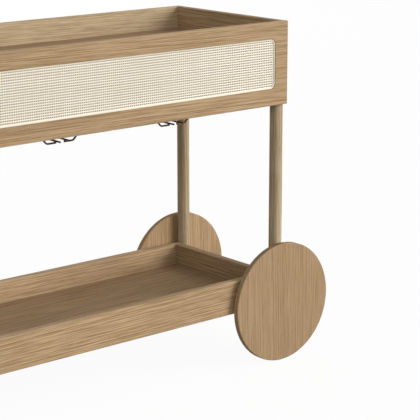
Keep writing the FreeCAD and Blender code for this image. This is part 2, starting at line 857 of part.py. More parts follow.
def axle_nut(label):
    body = cart.addObject("PartDesign::Body", label)
    face = sketch_on(body, f"{label}_hexagon", "XZ_Plane", -nut_end)
    corner_radius = size.nut_width / (2 * math.cos(math.pi / 6))
    turns = [step * math.pi / 3 for step in range(6)]
    outline(face, [(corner_radius * round(math.cos(angle), 9), corner_radius * round(math.sin(angle), 9))
                   for angle in turns])
    circle(face, size.thread_diameter + 2 * size.press_clearance, 0, 0)
    pad(body, face, size.nut_height)
    return body


def axle_bushes(label):
    """Two flanged bushes, pressed into the post from its two sides."""
    bore = axle_radius + size.running_clearance
    sleeve, flange = size.bush_diameter / 2, size.bush_flange / 2
    profiles = []
    for seat, thrust, inward in ((outer_seat, outer_thrust, 1), (inner_seat, inner_thrust, -1)):
        end = seat + inward * size.bush_sleeve
        profiles.append([(bore, thrust), (flange, thrust), (flange, seat),
                         (sleeve, seat), (sleeve, end), (bore, end)])
    return turned(label, profiles)


WHEEL_PIECES = {
    "wheel_disc": wheel_disc,
    "wheel_hub": wheel_hub,
    "hub_screws": hub_screws,
    "axle_washer": axle_washer,
    "axle_nut": axle_nut,
    "axle_bushes": axle_bushes,
}
wheel_y = post_y + post_radius + size.wheel_gap
wheel_corners = {corner: signs for corner, signs in CORNERS.items() if signs[0] == WHEEL_SIDE}
for corner, (right, back) in wheel_corners.items():
    for piece, make in WHEEL_PIECES.items():
        label = f"{piece}_{corner}"
        body = make(label)
        place(body, right * post_x, back * wheel_y, axle_z, HALF_TURN if back > 0 else FreeCAD.Rotation())
        sub_part(label, body)


# Stemware racks: bent wire, so each centreline is straight runs joined by tangent arcs

def bent_wire(points, bend, diameter):
    """A wire along the points, with every corner bent to the same radius."""
    edges = []
    start = points[0]
    for before, corner, after in zip(points, points[1:], points[2:]):
        towards, away = (before - corner).normalize(), (after - corner).normalize()
        half_angle = towards.getAngle(away) / 2
        setback = bend / math.tan(half_angle)
        middle = (towards + away).normalize() * (bend / math.sin(half_angle) - bend)
        arc_start, arc_end = corner + towards * setback, corner + away * setback
        edges.append(Part.LineSegment(start, arc_start).toShape())
        edges.append(Part.Arc(arc_start, corner + middle, arc_end).toShape())
        start = arc_end
    edges.append(Part.LineSegment(start, points[-1]).toShape())
    path = Part.Wire(edges)
    section = Part.Wire(Part.makeCircle(diameter / 2, points[0], points[1] - points[0]))
    return path.makePipeShell([section], True, False)


def feature(label, shape):
    thing = cart.addObject("Part::Feature", label)
    thing.Shape = shape
    return sub_part(label, thing)


def rack_rails(label, x):
    """A hairpin: two rails with a round bend at the back."""
    half_pitch = float(size.rail_pitch) / 2
    front, level = float(rail_front), float(rail_level)
    back = front + float(size.rail_length)
    bend_start = back - half_pitch
    left, right = x - half_pitch, x + half_pitch
    spots = [FreeCAD.Vector(left, front, level), FreeCAD.Vector(left, bend_start, level),
             FreeCAD.Vector(right, bend_start, level), FreeCAD.Vector(right, front, level)]
    path = Part.Wire([
        Part.LineSegment(spots[0], spots[1]).toShape(),
        Part.Arc(spots[1], FreeCAD.Vector(x, back, level), spots[2]).toShape(),
        Part.LineSegment(spots[2], spots[3]).toShape(),
    ])
    section = Part.Wire(Part.makeCircle(float(size.wire_diameter) / 2, spots[0], Y_AXIS))
    feature(label, path.makePipeShell([section], True, False))


def rack_hanger(x, y, side):
    """A wire from under the rail, out and up to its fixing tab."""
    level = float(rail_level - size.wire_diameter - size.weld_gap)
    tab_under = float(tab_level)
    tip = float(size.rail_pitch - size.wire_diameter) / 2
    run, top = float(size.hanger_run), float(size.hanger_top)
    stem_end = tab_under - float(size.hanger_stem)
    points = [FreeCAD.Vector(x + side * across, y, height) for across, height in (
        (tip, level), (run, level), (top, stem_end), (top, tab_under + float(size.tab_thickness) / 2))]
    wire = bent_wire(points, float(size.hanger_bend), float(size.wire_diameter))
    length, width = float(size.tab_length), float(size.tab_width)
    tab_start = top - width / 2 if side > 0 else -top + width / 2 - length
    tab = Part.makeBox(length, width, float(size.tab_thickness),
                       FreeCAD.Vector(x + tab_start, y - width / 2, tab_under))
    hole = Part.makeCylinder(float(size.tab_screw_diameter + hole_wide) / 2, float(size.tab_thickness),
                             FreeCAD.Vector(x + side * float(tab_screw_x), y, tab_under))
    return wire.fuse(tab.cut(hole)).removeSplitter().Solids[0]


rail_level = upper_bottom - size.rail_drop
rail_front = size.rack_setback - half_depth
tab_level = bottom_under - size.tab_thickness
tab_screw_x = size.hanger_top + size.tab_length - size.tab_width
hanger_front = rail_front + size.hanger_setback
hanger_rows = (hanger_front, hanger_front + size.hanger_spacing)
bottom_holes = []
for side, right in SIDES.items():
    rack_x = right * size.rack_spacing / 2
    rack_rails(f"rack_rails_{side}", float(rack_x))
    hangers = []
    screws = []
    for row, y in enumerate(hanger_rows, start=1):
        for hand, out in SIDES.items():
            hangers.append(rack_hanger(float(rack_x), float(y), out))
            start = (rack_x + out * tab_screw_x, y, tab_level)
            name = f"rack_screw_{side}_{row}_{hand}"
            screws.append(headed(name, size.tab_screw_head, size.tab_screw_head_height,
                                 size.tab_screw_diameter, size.tab_screw_length, start, "+z"))
            bottom_holes.append(rod(f"{name}_hole", size.tab_screw_diameter + hole_wide,
                                    size.bottom_thickness + 2 * size.hole_end_clearance,
                                    (start[0], y, bottom_under - size.hole_end_clearance), "+z"))
    feature(f"rack_hangers_{side}", Part.makeCompound(hangers))
    sub_part(f"rack_screws_{side}", group(f"rack_screws_{side}", screws))

# The closing board under the upper tray, drilled for the rack screws
bottom_x, bottom_y = inner_half_length - size.floor_clearance, inner_half_depth - size.floor_clearance
bottom_blank = board("upper_bottom_blank", (-bottom_x, bottom_x), (-bottom_y, bottom_y),
                     (bottom_under, bottom_top))
sub_part("upper_bottom", cut("upper_bottom", bottom_blank, bottom_holes))


# Checks and files

cart.recompute()
for thing in cart.Objects:
    if "Invalid" in thing.State or "Error" in thing.State:
        raise RuntimeError(f"{thing.Label} failed: {thing.State}")
for label, thing in sub_parts.items():
    if thing.Shape.isNull() or not thing.Shape.isValid():
        raise RuntimeError(f"{label} has no valid shape")

os.makedirs("parts", exist_ok=True)
to_origin = FreeCAD.Vector(-float(whole_middle), 0, 0)
for label, thing in sub_parts.items():
    thing.Shape.translated(to_origin).exportStep(f"parts/{label}.step")
    print(f"{label}: {len(thing.Shape.Solids)} solids, {thing.Shape.Volume / 1000:.1f} cm3")
print(len(sub_parts), "sub-parts")
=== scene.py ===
"""Looks of an oak bar cart with cane panels, disc wheels and two stemware racks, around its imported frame."""

import logging
import math
from collections.abc import Callable
from dataclasses import dataclass
from enum import Enum
from typing import ClassVar

import bmesh
import bpy
from mathutils import Euler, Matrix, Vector


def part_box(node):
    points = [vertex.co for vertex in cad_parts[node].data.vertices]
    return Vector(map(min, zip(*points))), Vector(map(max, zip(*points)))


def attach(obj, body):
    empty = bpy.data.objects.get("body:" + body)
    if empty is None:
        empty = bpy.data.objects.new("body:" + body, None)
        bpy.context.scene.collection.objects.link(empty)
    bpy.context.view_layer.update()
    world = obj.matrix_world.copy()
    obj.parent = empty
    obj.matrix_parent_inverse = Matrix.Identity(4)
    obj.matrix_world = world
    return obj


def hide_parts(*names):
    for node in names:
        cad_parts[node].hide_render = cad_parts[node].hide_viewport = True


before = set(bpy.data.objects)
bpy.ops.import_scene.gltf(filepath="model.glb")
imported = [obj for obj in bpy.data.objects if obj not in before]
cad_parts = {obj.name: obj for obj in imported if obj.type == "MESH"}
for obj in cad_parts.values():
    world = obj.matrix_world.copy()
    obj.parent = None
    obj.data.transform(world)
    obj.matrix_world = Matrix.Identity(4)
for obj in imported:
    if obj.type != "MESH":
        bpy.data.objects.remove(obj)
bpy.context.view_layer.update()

LOG = logging.getLogger("bar_cart")
MM = 0.001
MERGE_DISTANCE = MM / 1000
ORDER_DECIMALS = 4
ROW_DECIMALS = 5
FIXED = "frame"
RIGHT, BACK, UP = Vector((1, 0, 0)), Vector((0, 1, 0)), Vector((0, 0, 1))
Colour = tuple[float, float, float, float]
Span = tuple[float, float]
Socket = bpy.types.NodeSocket
Sockets = bpy.types.bpy_prop_collection
Input = float | int | tuple | Vector | Socket
Inputs = dict[str | int, Input]
Loop = list[Vector]
WHITE: Colour = (1.0, 1.0, 1.0, 1.0)


def srgb(red: int, green: int, blue: int) -> Colour:
    """Turn a colour as seen on screen into the linear colour that a shader takes.

    Args:
        red, green, blue: the colour, each from 0 to 255.

    Returns:
        The linear colour with an alpha of 1.
    """
    def linear(level: int) -> float:
        """Undo the screen curve of one channel."""
        share = level / 255
        return share / 12.92 if share <= 0.04045 else ((share + 0.055) / 1.055) ** 2.4
    return linear(red), linear(green), linear(blue), 1.0


# Node trees

class Wiring:
    """Adds and links the nodes of one tree."""

    def __init__(self, tree: bpy.types.NodeTree) -> None:
        """Keep the tree that the nodes go into."""
        self.tree = tree

    def add(self, kind: str, inputs: Inputs | None = None, **settings: object) -> bpy.types.Node:
        """Add a node, set its own settings, and link or set its inputs.

        Args:
            kind: the type of node.
            inputs: a socket to link or a value to set, by the input's name or number.
            settings: the node's own properties.

        Returns:
            The new node.
        """
        node = self.tree.nodes.new(kind)
        for name, value in settings.items():
            setattr(node, name, value)
        for key, value in (inputs or {}).items():
            if isinstance(value, Socket):
                self.link(value, node.inputs[key])
            else:
                node.inputs[key].default_value = value
        return node

    def make(self, kind: str, inputs: Inputs | None = None, **settings: object) -> Socket:
        """Add a node and take its first output."""
        return self.add(kind, inputs, **settings).outputs[0]

    def link(self, source: Socket, target: Socket) -> None:
        """Link an output to an input."""
        self.tree.links.new(source, target)

    def math(self, operation: str, *values: Input) -> Socket:
        """Work out a number from numbers."""
        return self.make("ShaderNodeMath", dict(enumerate(values)), operation=operation)

    def vector(self, operation: str, *values: Input) -> Socket:
        """Work out a vector, or a number for a length or a dot product, from vectors."""
        node = self.add("ShaderNodeVectorMath", dict(enumerate(values)), operation=operation)
        return node.outputs["Value" if operation in ("LENGTH", "DOT_PRODUCT") else "Vector"]

    def scaled(self, vector: Input, factor: Input) -> Socket:
        """A vector times a number."""
        return self.make("ShaderNodeVectorMath", {0: vector, "Scale": factor}, operation="SCALE")

    def parts(self, vector: Socket) -> list[Socket]:
        """Split a vector into its three numbers."""
        return list(self.add("ShaderNodeSeparateXYZ", {0: vector}).outputs)

    def join(self, x: Input, y: Input, z: Input) -> Socket:
        """Make a vector of three numbers."""
        return self.make("ShaderNodeCombineXYZ", {0: x, 1: y, 2: z})

    def ramp(self, value: Input, start: Input, end: Input, low: Input = 0.0, high: Input = 1.0) -> Socket:
        """Ease from low to high while the value goes from start to end."""
        return self.make("ShaderNodeMapRange", {
            "Value": value, "From Min": start, "From Max": end, "To Min": low, "To Max": high,
        }, interpolation_type="SMOOTHSTEP")

    def clouds(self, vector: Input, scale: float, detail: float) -> Socket:
        """Soft noise with a number of cells per unit."""
        return self.make("ShaderNodeTexNoise", {"Vector": vector, "Scale": scale, "Detail": detail})

    def mix(self, share: Input, first: Input, second: Input, blend: str = "MIX") -> Socket:
        """Mix two colours."""
        node = self.add("ShaderNodeMix", {0: share, 6: first, 7: second}, data_type="RGBA", blend_type=blend)
        return node.outputs[2]

    def blend(self, *weighted: tuple[Socket, float]) -> Socket:
        """Add up numbers, each times its weight.

        Args:
            weighted: the numbers with their weights.

        Returns:
            The sum.
        """
        total: Input = 0.0
        for value, weight in weighted:
            total = self.math("MULTIPLY_ADD", value, weight, total)
        return total


class Kind(Enum):
    """The kinds of socket that the trees here take or give."""

    NUMBER = "NodeSocketFloat"
    COUNT = "NodeSocketInt"
    VECTOR = "NodeSocketVector"
    COLOUR = "NodeSocketColor"
    SHAPE = "NodeSocketGeometry"
    THING = "NodeSocketObject"
    FINISH = "NodeSocketMaterial"


class Family(Enum):
    """The two families of tree."""

    SHADER = "ShaderNodeTree"
    GEOMETRY = "GeometryNodeTree"


def new_tree(name: str, family: Family, takes: dict[str, Kind],
             gives: dict[str, Kind]) -> tuple[Wiring, Sockets, Sockets]:
    """Make a node group with named inputs and outputs.

    Args:
        name: the group's name.
        family: whether it shades or makes geometry.
        takes: the kinds of the inputs by name.
        gives: the kinds of the outputs by name.

    Returns:
        The wiring of the tree, its input sockets by name and its output sockets by name.
    """
    tree = bpy.data.node_groups.new(name, family.value)
    for sockets, way in ((takes, "INPUT"), (gives, "OUTPUT")):
        for label, kind in sockets.items():
            tree.interface.new_socket(name=label, in_out=way, socket_type=kind.value)
    w = Wiring(tree)
    return w, w.add("NodeGroupInput").outputs, w.add("NodeGroupOutput").inputs


# Effects that several finishes share

@dataclass(frozen=True)
class Layer:
    """One layer of a figure: its cells per metre along X and across it, its weight and where it shows."""

    along: float
    across: float
    weight: float = 0.0
    detail: float = 2.0
    edge: Span = (0.0, 1.0)

    def noise(self, w: Wiring, place: Socket) -> Socket:
        """The layer as soft noise."""
        cells = w.vector("MULTIPLY", place, (self.along, self.across, self.across))
        return w.clouds(cells, scale=1.0, detail=self.detail)

    def flecks(self, w: Wiring, place: Socket, least: float = 0.0) -> Socket:
        """The layer as a mask that rises from its least where the noise passes its edge."""
        return w.ramp(self.noise(w, place), *self.edge, least)


@dataclass(frozen=True)
class OakFigure:
    """The figure of sawn oak with its fibres along X, and what each layer does to the surface."""

    wander: Layer = Layer(1.4, 7.0, weight=0.017)
    broad: Layer = Layer(1.2, 20.0, weight=0.10)
    streaks: Layer = Layer(10.0, 640.0, weight=0.40)
    fibres: Layer = Layer(26.0, 1000.0, weight=0.20)
    vessels: Layer = Layer(65.0, 1500.0, weight=0.25, detail=1.0, edge=(0.56, 0.68))
    rays: Layer = Layer(50.0, 230.0, weight=0.3, detail=1.0, edge=(0.64, 0.76))
    rings_per_metre: float = 340.0
    ring_weight: float = 0.30
    ring_detail: float = 3.0
    ring_roughness: float = 0.55
    taper: float = 0.014
    seed_stride: tuple[float, float, float] = (3.7, 1.9, 2.6)
    seed_turns: float = 17.0
    tone_edge: Span = (0.40, 0.60)
    porous_edge: Span = (0.42, 0.62)
    pore_shade: Colour = srgb(150, 134, 122)
    end_edge: Span = (0.75, 0.95)
    end_share: float = 0.55
    end_shade: Colour = srgb(205, 192, 178)
    roughness: float = 0.58
    pore_roughness: float = 0.16
    tone_roughness: float = 0.08
    fibre_height: float = 0.4

    def tree(self) -> bpy.types.NodeTree:
        """Build growth rings, streaks, fibres, pores and rays as one effect.

        Returns:
            The effect's tree.
        """
        w, given, out = new_tree("oak_grain", Family.SHADER, {
            "Position": Kind.VECTOR, "Facing": Kind.VECTOR, "Heart": Kind.VECTOR, "Seed": Kind.NUMBER,
            "Pale": Kind.COLOUR, "Dark": Kind.COLOUR,
        }, {"Colour": Kind.COLOUR, "Roughness": Kind.NUMBER, "Height": Kind.NUMBER})
        place = w.vector("ADD", given["Position"], w.scaled(self.seed_stride, given["Seed"]))
        along, *_ = w.parts(given["Position"])
        _, across, up = w.parts(w.vector("SUBTRACT", given["Position"], given["Heart"]))
        wander = w.blend((self.wander.noise(w, place), self.wander.weight), (along, self.taper))
        radius = w.math("ADD", w.vector("LENGTH", w.join(0.0, across, up)), wander)
        shift = w.math("MULTIPLY", given["Seed"], self.seed_turns)
        rings = w.make("ShaderNodeTexNoise", {
            "W": w.math("MULTIPLY_ADD", radius, self.rings_per_metre, shift), "Scale": 1.0,
            "Detail": self.ring_detail, "Roughness": self.ring_roughness}, noise_dimensions="1D")
        fibres = self.fibres.noise(w, place)
        tone = w.ramp(w.blend(
            (rings, self.ring_weight), (self.broad.noise(w, place), self.broad.weight),
            (self.streaks.noise(w, place), self.streaks.weight), (fibres, self.fibres.weight),
        ), *self.tone_edge)
        pores = w.math("MULTIPLY", self.vessels.flecks(w, place), w.ramp(rings, *self.porous_edge))
        rays = w.math("MULTIPLY", self.rays.flecks(w, place), self.rays.weight)
        colour = w.mix(rays, w.mix(tone, given["Pale"], given["Dark"]), given["Pale"])
        shaded = w.mix(1.0, given["Dark"], self.pore_shade, "MULTIPLY")
        colour = w.mix(w.math("MULTIPLY", pores, self.vessels.weight), colour, shaded)
        end_on, *_ = w.parts(w.vector("ABSOLUTE", given["Facing"]))
        darker = w.mix(1.0, colour, self.end_shade, "MULTIPLY")
        w.link(w.mix(w.ramp(end_on, *self.end_edge, 0.0, self.end_share), colour, darker), out["Colour"])
        rough = w.blend((pores, self.pore_roughness), (tone, self.tone_roughness))
        w.link(w.math("ADD", rough, self.roughness), out["Roughness"])
        w.link(w.blend((fibres, self.fibre_height), (pores, -1.0)), out["Height"])
        return w.tree


# Patchy edge mask: it paints wear, and also a painted highlight along the edges.
WEAR_AND_HIGHLIGHT_PATCHES = Layer(45.0, 45.0, detail=3.0, edge=(0.35, 0.65))
WEAR_AND_HIGHLIGHT_LEAST = 0.35
CANE_RUN = 2.5
CANE_FIBRES = Layer(30.0, 1900.0, weight=0.3, edge=(0.35, 0.65))
SOFT_EDGE: Span = (0.3, 0.7)
TEETH_PER_PATCH = 14.0


def edge_wear_and_highlight_tree() -> bpy.types.NodeTree:
    """Build a mask along the edges of a piece, from a point's distances to the faces that bound it; the mask
    paints edge wear and also a painted highlight where the rounded edges catch the light.

    Returns:
        The effect's tree.
    """
    w, given, out = new_tree("edge_wear", Family.SHADER, {
        "Gaps": Kind.VECTOR, "Position": Kind.VECTOR, "Width": Kind.NUMBER,
    }, {"Worn": Kind.NUMBER})
    first, second, third = w.parts(given["Gaps"])
    near, far = w.math("MINIMUM", first, second), w.math("MAXIMUM", first, second)
    to_edge = w.math("MAXIMUM", near, w.math("MINIMUM", far, third))
    patchy = WEAR_AND_HIGHLIGHT_PATCHES.flecks(w, given["Position"], WEAR_AND_HIGHLIGHT_LEAST)
    w.link(w.math("MULTIPLY", w.ramp(to_edge, 0.0, given["Width"], 1.0, 0.0), patchy), out["Worn"])
    return w.tree


def fibre_streaks_tree() -> bpy.types.NodeTree:
    """Build long streaks along X, and finer ones inside them, for cane and reed.

    Returns:
        The effect's tree.
    """
    w, given, out = new_tree("fibre_streaks", Family.SHADER, {
        "Position": Kind.VECTOR, "Strands": Kind.NUMBER,
    }, {"Streak": Kind.NUMBER, "Fine": Kind.NUMBER})
    cells = w.vector("MULTIPLY", given["Position"], w.join(CANE_RUN, given["Strands"], given["Strands"]))
    w.link(w.ramp(w.clouds(cells, scale=1.0, detail=2.0), *SOFT_EDGE), out["Streak"])
    w.link(CANE_FIBRES.noise(w, given["Position"]), out["Fine"])
    return w.tree


def mottle_tree() -> bpy.types.NodeTree:
    """Build soft patches and a fine tooth, for metal and moulded plastic.

    Returns:
        The effect's tree.
    """
    w, given, out = new_tree("mottle", Family.SHADER, {
        "Position": Kind.VECTOR, "Size": Kind.NUMBER,
    }, {"Patch": Kind.NUMBER, "Tooth": Kind.NUMBER})
    cells = w.vector("DIVIDE", given["Position"], w.join(given["Size"], given["Size"], given["Size"]))
    w.link(w.ramp(w.clouds(cells, scale=1.0, detail=4.0), *SOFT_EDGE), out["Patch"])
    w.link(w.clouds(cells, scale=TEETH_PER_PATCH, detail=2.0), out["Tooth"])
    return w.tree


OAK_GRAIN = OakFigure().tree()
EDGE_WEAR_AND_HIGHLIGHT = edge_wear_and_highlight_tree()
FIBRE_STREAKS = fibre_streaks_tree()
MOTTLE = mottle_tree()


# Finishes

class Grain(Enum):
    """Which way the fibres run, as the turn that lays them along X."""

    ALONG = (0.0, 0.0, 0.0)
    ACROSS = (0.0, 0.0, -math.pi / 2)
    UPRIGHT = (0.0, math.pi / 2, 0.0)


class Outline(Enum):
    """How a wooden piece is bounded, for the wear along its edges."""

    BOARD = "board"
    DISC = "disc"
    BAR = "bar"


@dataclass(frozen=True)
class Box:
    """The space that a CAD node, or one solid of it, fills at rest."""

    low: Vector
    high: Vector

    @classmethod
    def of(cls, node: str) -> "Box":
        """Read a node's box from the frame."""
        return cls(*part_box(node))

    @classmethod
    def solids_of(cls, node: str) -> list["Box"]:
        """Find the boxes of the separate solids in a node.

        Args:
            node: the CAD node.

        Returns:
            One box for each solid, in order along X, then Y, then Z.
        """
        mesh = bmesh.new()
        mesh.from_mesh(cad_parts[node].data)
        bmesh.ops.remove_doubles(mesh, verts=mesh.verts, dist=MERGE_DISTANCE)
        left = set(mesh.verts)
        boxes = []
        while left:
            reached = [left.pop()]
            for corner in reached:
                fresh = {edge.other_vert(corner) for edge in corner.link_edges} & left
                left -= fresh
                reached.extend(fresh)
            spans = [[corner.co[axis] for corner in reached] for axis in range(3)]
            boxes.append(cls(Vector(map(min, spans)), Vector(map(max, spans))))
        mesh.free()
        return sorted(boxes, key=lambda box: tuple(round(value, ORDER_DECIMALS) for value in box.low))

    @property
    def centre(self) -> Vector:
        """The middle of the box."""
        return (self.low + self.high) / 2

    @property
    def half(self) -> Vector:
        """Half the size of the box."""
        return (self.high - self.low) / 2


class Surface(Wiring):
    """A new material, with the shader that its effects lead to."""

    relief_strength: ClassVar[float] = 0.6

    def __init__(self, name: str) -> None:
        """Make the material with only its shader.

        Args:
            name: the material's name.
        """
        self.material = bpy.data.materials.new(name)
        self.material.use_nodes = True
        super().__init__(self.material.node_tree)
        self.shader = self.tree.nodes["Principled BSDF"]

    def effect(self, tree: bpy.types.NodeTree, inputs: dict[str, Input]) -> Sockets:
        """Place a shared effect and take its outputs."""
        return self.add("ShaderNodeGroup", inputs, node_tree=tree).outputs

    def settle(self, levels: dict[str, float]) -> None:
        """Set what is the same all over the surface."""
        for name, level in levels.items():
            self.shader.inputs[name].default_value = level

    def where(self) -> Sockets:
        """The coordinates of a point on the surface."""
        return self.add("ShaderNodeTexCoord").outputs

    def along_fibres(self, where: Sockets, grain: Grain) -> list[Socket]:
        """Give the point and the normal in a frame whose X axis follows the fibres.

        Args:
            where: the coordinates of the point.
            grain: the way of the fibres.

        Returns:
            The turned point and the turned normal.
        """
        return [self.make("ShaderNodeMapping", {"Vector": where[name], "Rotation": grain.value},
                          vector_type=kind)
                for name, kind in (("Object", "POINT"), ("Normal", "VECTOR"))]

    def finish(self, colour: Socket, roughness: Socket, height: Socket, depth: float) -> bpy.types.Material:
        """Lead the colour, the roughness and a fine relief to the shader.

        Args:
            colour: the colour over the surface.
            roughness: the roughness over the surface.
            height: the relief, from 0 to 1.
            depth: the relief's depth in metres.

        Returns:
            The material.
        """
        bump = self.make("ShaderNodeBump", {
            "Strength": self.relief_strength, "Distance": depth, "Height": height})
        for name, source in (("Base Color", colour), ("Roughness", roughness), ("Normal", bump)):
            self.link(source, self.shader.inputs[name])
        return self.material


@dataclass(frozen=True)
class Tone:
    """How the oak of one piece differs: how light it is, how straw-coloured and how strongly figured; its
    lightness and straw lean are partly painted light and shade, paler and greyer on faces that catch more
    light, darker on those that catch less.
    """

    lightness_and_painted_light: float = 1.0
    straw: float = 0.0
    figure: float = 1.0


@dataclass(frozen=True)
class Oak:
    """Straight-grained oak under a clear matt lacquer."""

    pale: Colour = srgb(177, 150, 117)
    dark: Colour = srgb(142, 116, 85)
    # Paler edge colour: partly wear, partly a painted highlight where the rounded edges catch the light.
    worn_and_highlight: Colour = srgb(192, 167, 132)
    straw: tuple[float, float, float] = (1.0, 1.15, 1.3)
    wear_and_highlight_share: float = 0.2
    wear_and_highlight_width: float = 2.2 * MM
    pore_depth: float = 0.12 * MM
    gloss: float = 0.04

    def gaps(self, w: Wiring, place: Socket, box: Box, outline: Outline) -> Socket:
        """Work out a point's distances to the faces that bound its piece.

        Args:
            w: the wiring of the material.
            place: the point.
            box: the piece's box.
            outline: the form of the piece.

        Returns:
            The three distances, as one vector.
        """
        offset = w.vector("ABSOLUTE", w.vector("SUBTRACT", place, box.centre))
        if outline is Outline.BOARD:
            return w.vector("SUBTRACT", box.half, offset)
        x, y, z = w.parts(offset)
        flat, depth, reach = (z, y, box.half.y) if outline is Outline.DISC else (y, z, box.half.z)
        radius = w.vector("LENGTH", w.join(x, flat, 0.0))
        return w.join(w.math("SUBTRACT", box.half.x, radius), w.math("SUBTRACT", reach, depth), 1.0)

    def toned(self, tone: Tone) -> list[Colour]:
        """Work out the pale and the dark wood of one piece.

        Args:
            tone: how the piece differs from the others, painted light and shade included.

        Returns:
            The two colours.
        """
        ends = Vector(self.pale[:3]), Vector(self.dark[:3])
        middle = (ends[0] + ends[1]) / 2
        lean = Vector(WHITE[:3]).lerp(Vector(self.straw), tone.straw) * tone.lightness_and_painted_light
        return [(*(middle.lerp(end, tone.figure) * lean), 1.0) for end in ends]

    def material(self, node: str, grain: Grain, seed: float, heart: Span,
                 tone: Tone, outline: Outline = Outline.BOARD) -> bpy.types.Material:
        """Make the oak of one piece.

        Args:
            node: the CAD node that it dresses.
            grain: the way of the fibres.
            seed: picks the stretch of the log.
            heart: where the heart of the log lies from the middle of the piece, across the fibres.
            tone: how the piece differs from the others, painted light and shade included.
            outline: the form of the piece.

        Returns:
            The material.
        """
        w = Surface(f"oak_{node}")
        box = Box.of(node)
        where = w.where()
        place = where["Object"]
        position, facing = w.along_fibres(where, grain)
        middle = Euler(grain.value).to_matrix() @ box.centre
        pale, dark = self.toned(tone)
        wood = w.effect(OAK_GRAIN, {
            "Position": position, "Facing": facing, "Heart": middle + Vector((0.0, *heart)), "Seed": seed,
            "Pale": pale, "Dark": dark})
        wear_and_highlight = w.effect(EDGE_WEAR_AND_HIGHLIGHT, {
            "Gaps": self.gaps(w, place, box, outline), "Position": place, "Width": self.wear_and_highlight_width})
        w.settle({"Specular IOR Level": self.gloss})
        # Lighten the edges: wear and a painted highlight in one.
        colour = w.mix(w.math("MULTIPLY", wear_and_highlight["Worn"], self.wear_and_highlight_share), wood["Colour"], self.worn_and_highlight)
        return w.finish(colour, wood["Roughness"], wood["Height"], self.pore_depth)


@dataclass(frozen=True)
class Fibre:
    """Peeled cane or reed, pale and faintly streaked along its length."""

    pale: Colour
    straw: Colour
    strands: float
    roughness: float = 0.45
    fine_roughness: float = 0.15
    gloss: float = 0.35
    relief_depth: float = 0.05 * MM

    def material(self, name: str, grain: Grain) -> bpy.types.Material:
        """Make the finish of strands that run one way.

        Args:
            name: the material's name.
            grain: the way that the strands run.

        Returns:
            The material.
        """
        w = Surface(name)
        position, _ = w.along_fibres(w.where(), grain)
        streaks = w.effect(FIBRE_STREAKS, {"Position": position, "Strands": self.strands})
        fine = w.ramp(streaks["Fine"], *CANE_FIBRES.edge)
        share = w.blend((streaks["Streak"], 1.0 - CANE_FIBRES.weight), (fine, CANE_FIBRES.weight))
        w.settle({"Specular IOR Level": self.gloss})
        rough = w.math("MULTIPLY_ADD", fine, self.fine_roughness, self.roughness)
        return w.finish(w.mix(share, self.pale, self.straw), rough, streaks["Fine"], self.relief_depth)


@dataclass(frozen=True)
class Mottled:
    """A hard finish with soft patches of a second colour and a fine tooth."""

    base: Colour
    patch: Colour
    roughness: float
    patch_size: float

    patch_roughness: ClassVar[float] = 0.0
    tooth_depth: ClassVar[float] = 0.0

    def patches(self, w: Surface, place: Socket, patch: Socket) -> Socket:
        """Where the second colour shows."""
        return patch

    def levels(self) -> dict[str, float]:
        """What is the same all over."""
        return {}

    def material(self, name: str) -> bpy.types.Material:
        """Make the finish.

        Args:
            name: the material's name.

        Returns:
            The material.
        """
        w = Surface(name)
        place = w.where()["Object"]
        mottle = w.effect(MOTTLE, {"Position": place, "Size": self.patch_size})
        share = self.patches(w, place, mottle["Patch"])
        w.settle(self.levels())
        rough = w.math("MULTIPLY_ADD", share, self.patch_roughness, self.roughness)
        return w.finish(w.mix(share, self.base, self.patch), rough, mottle["Tooth"], self.tooth_depth)


@dataclass(frozen=True)
class Metal(Mottled):
    """A plated, patinated or sintered metal."""

    lacquer: float = 0.0
    lacquer_roughness: float = 0.12

    patch_roughness: ClassVar[float] = 0.14
    tooth_depth: ClassVar[float] = 0.02 * MM

    def levels(self) -> dict[str, float]:
        """Bare metal, with any lacquer over it."""
        return {"Metallic": 1.0, "Coat Weight": self.lacquer, "Coat Roughness": self.lacquer_roughness}


@dataclass(frozen=True)
class Moulded(Mottled):
    """A moulded plastic with a fine matt grain, scuffed paler where it slides on the floor."""

    scuff_height: float = 1.5 * MM

    patch_roughness: ClassVar[float] = 0.2
    tooth_depth: ClassVar[float] = 0.04 * MM

    def patches(self, w: Surface, place: Socket, patch: Socket) -> Socket:
        """Scuffs close to the floor."""
        *_, height = w.parts(place)
        return w.math("MULTIPLY", w.ramp(height, 0.0, self.scuff_height, 1.0, 0.0), patch)


OAK = Oak()
CANE = Fibre(srgb(245, 238, 222), srgb(237, 228, 207), strands=190.0)
REED = Fibre(srgb(230, 222, 206), srgb(222, 213, 194), strands=60.0)
DARK_WIRE = Metal(srgb(90, 56, 32), srgb(54, 35, 22), roughness=0.26, patch_size=9 * MM, lacquer=0.08)
STEEL = Metal(srgb(186, 186, 184), srgb(160, 162, 164), roughness=0.3, patch_size=4 * MM)
BRONZE = Metal(srgb(172, 132, 82), srgb(140, 104, 62), roughness=0.38, patch_size=1.5 * MM)
NYLON = Moulded(srgb(56, 52, 48), srgb(112, 106, 98), roughness=0.48, patch_size=1.2 * MM)


# Meshes

SHARP_ANGLE = math.radians(32)
HEXAGON = 6
ARM_SLACK = 1.01


def add_object(name: str, mesh: bpy.types.Mesh) -> bpy.types.Object:
    """Put a mesh into the scene at the origin.

    Args:
        name: the object's name.
        mesh: its mesh.

    Returns:
        The object.
    """
    thing = bpy.data.objects.new(name, mesh)
    bpy.context.scene.collection.objects.link(thing)
    return thing


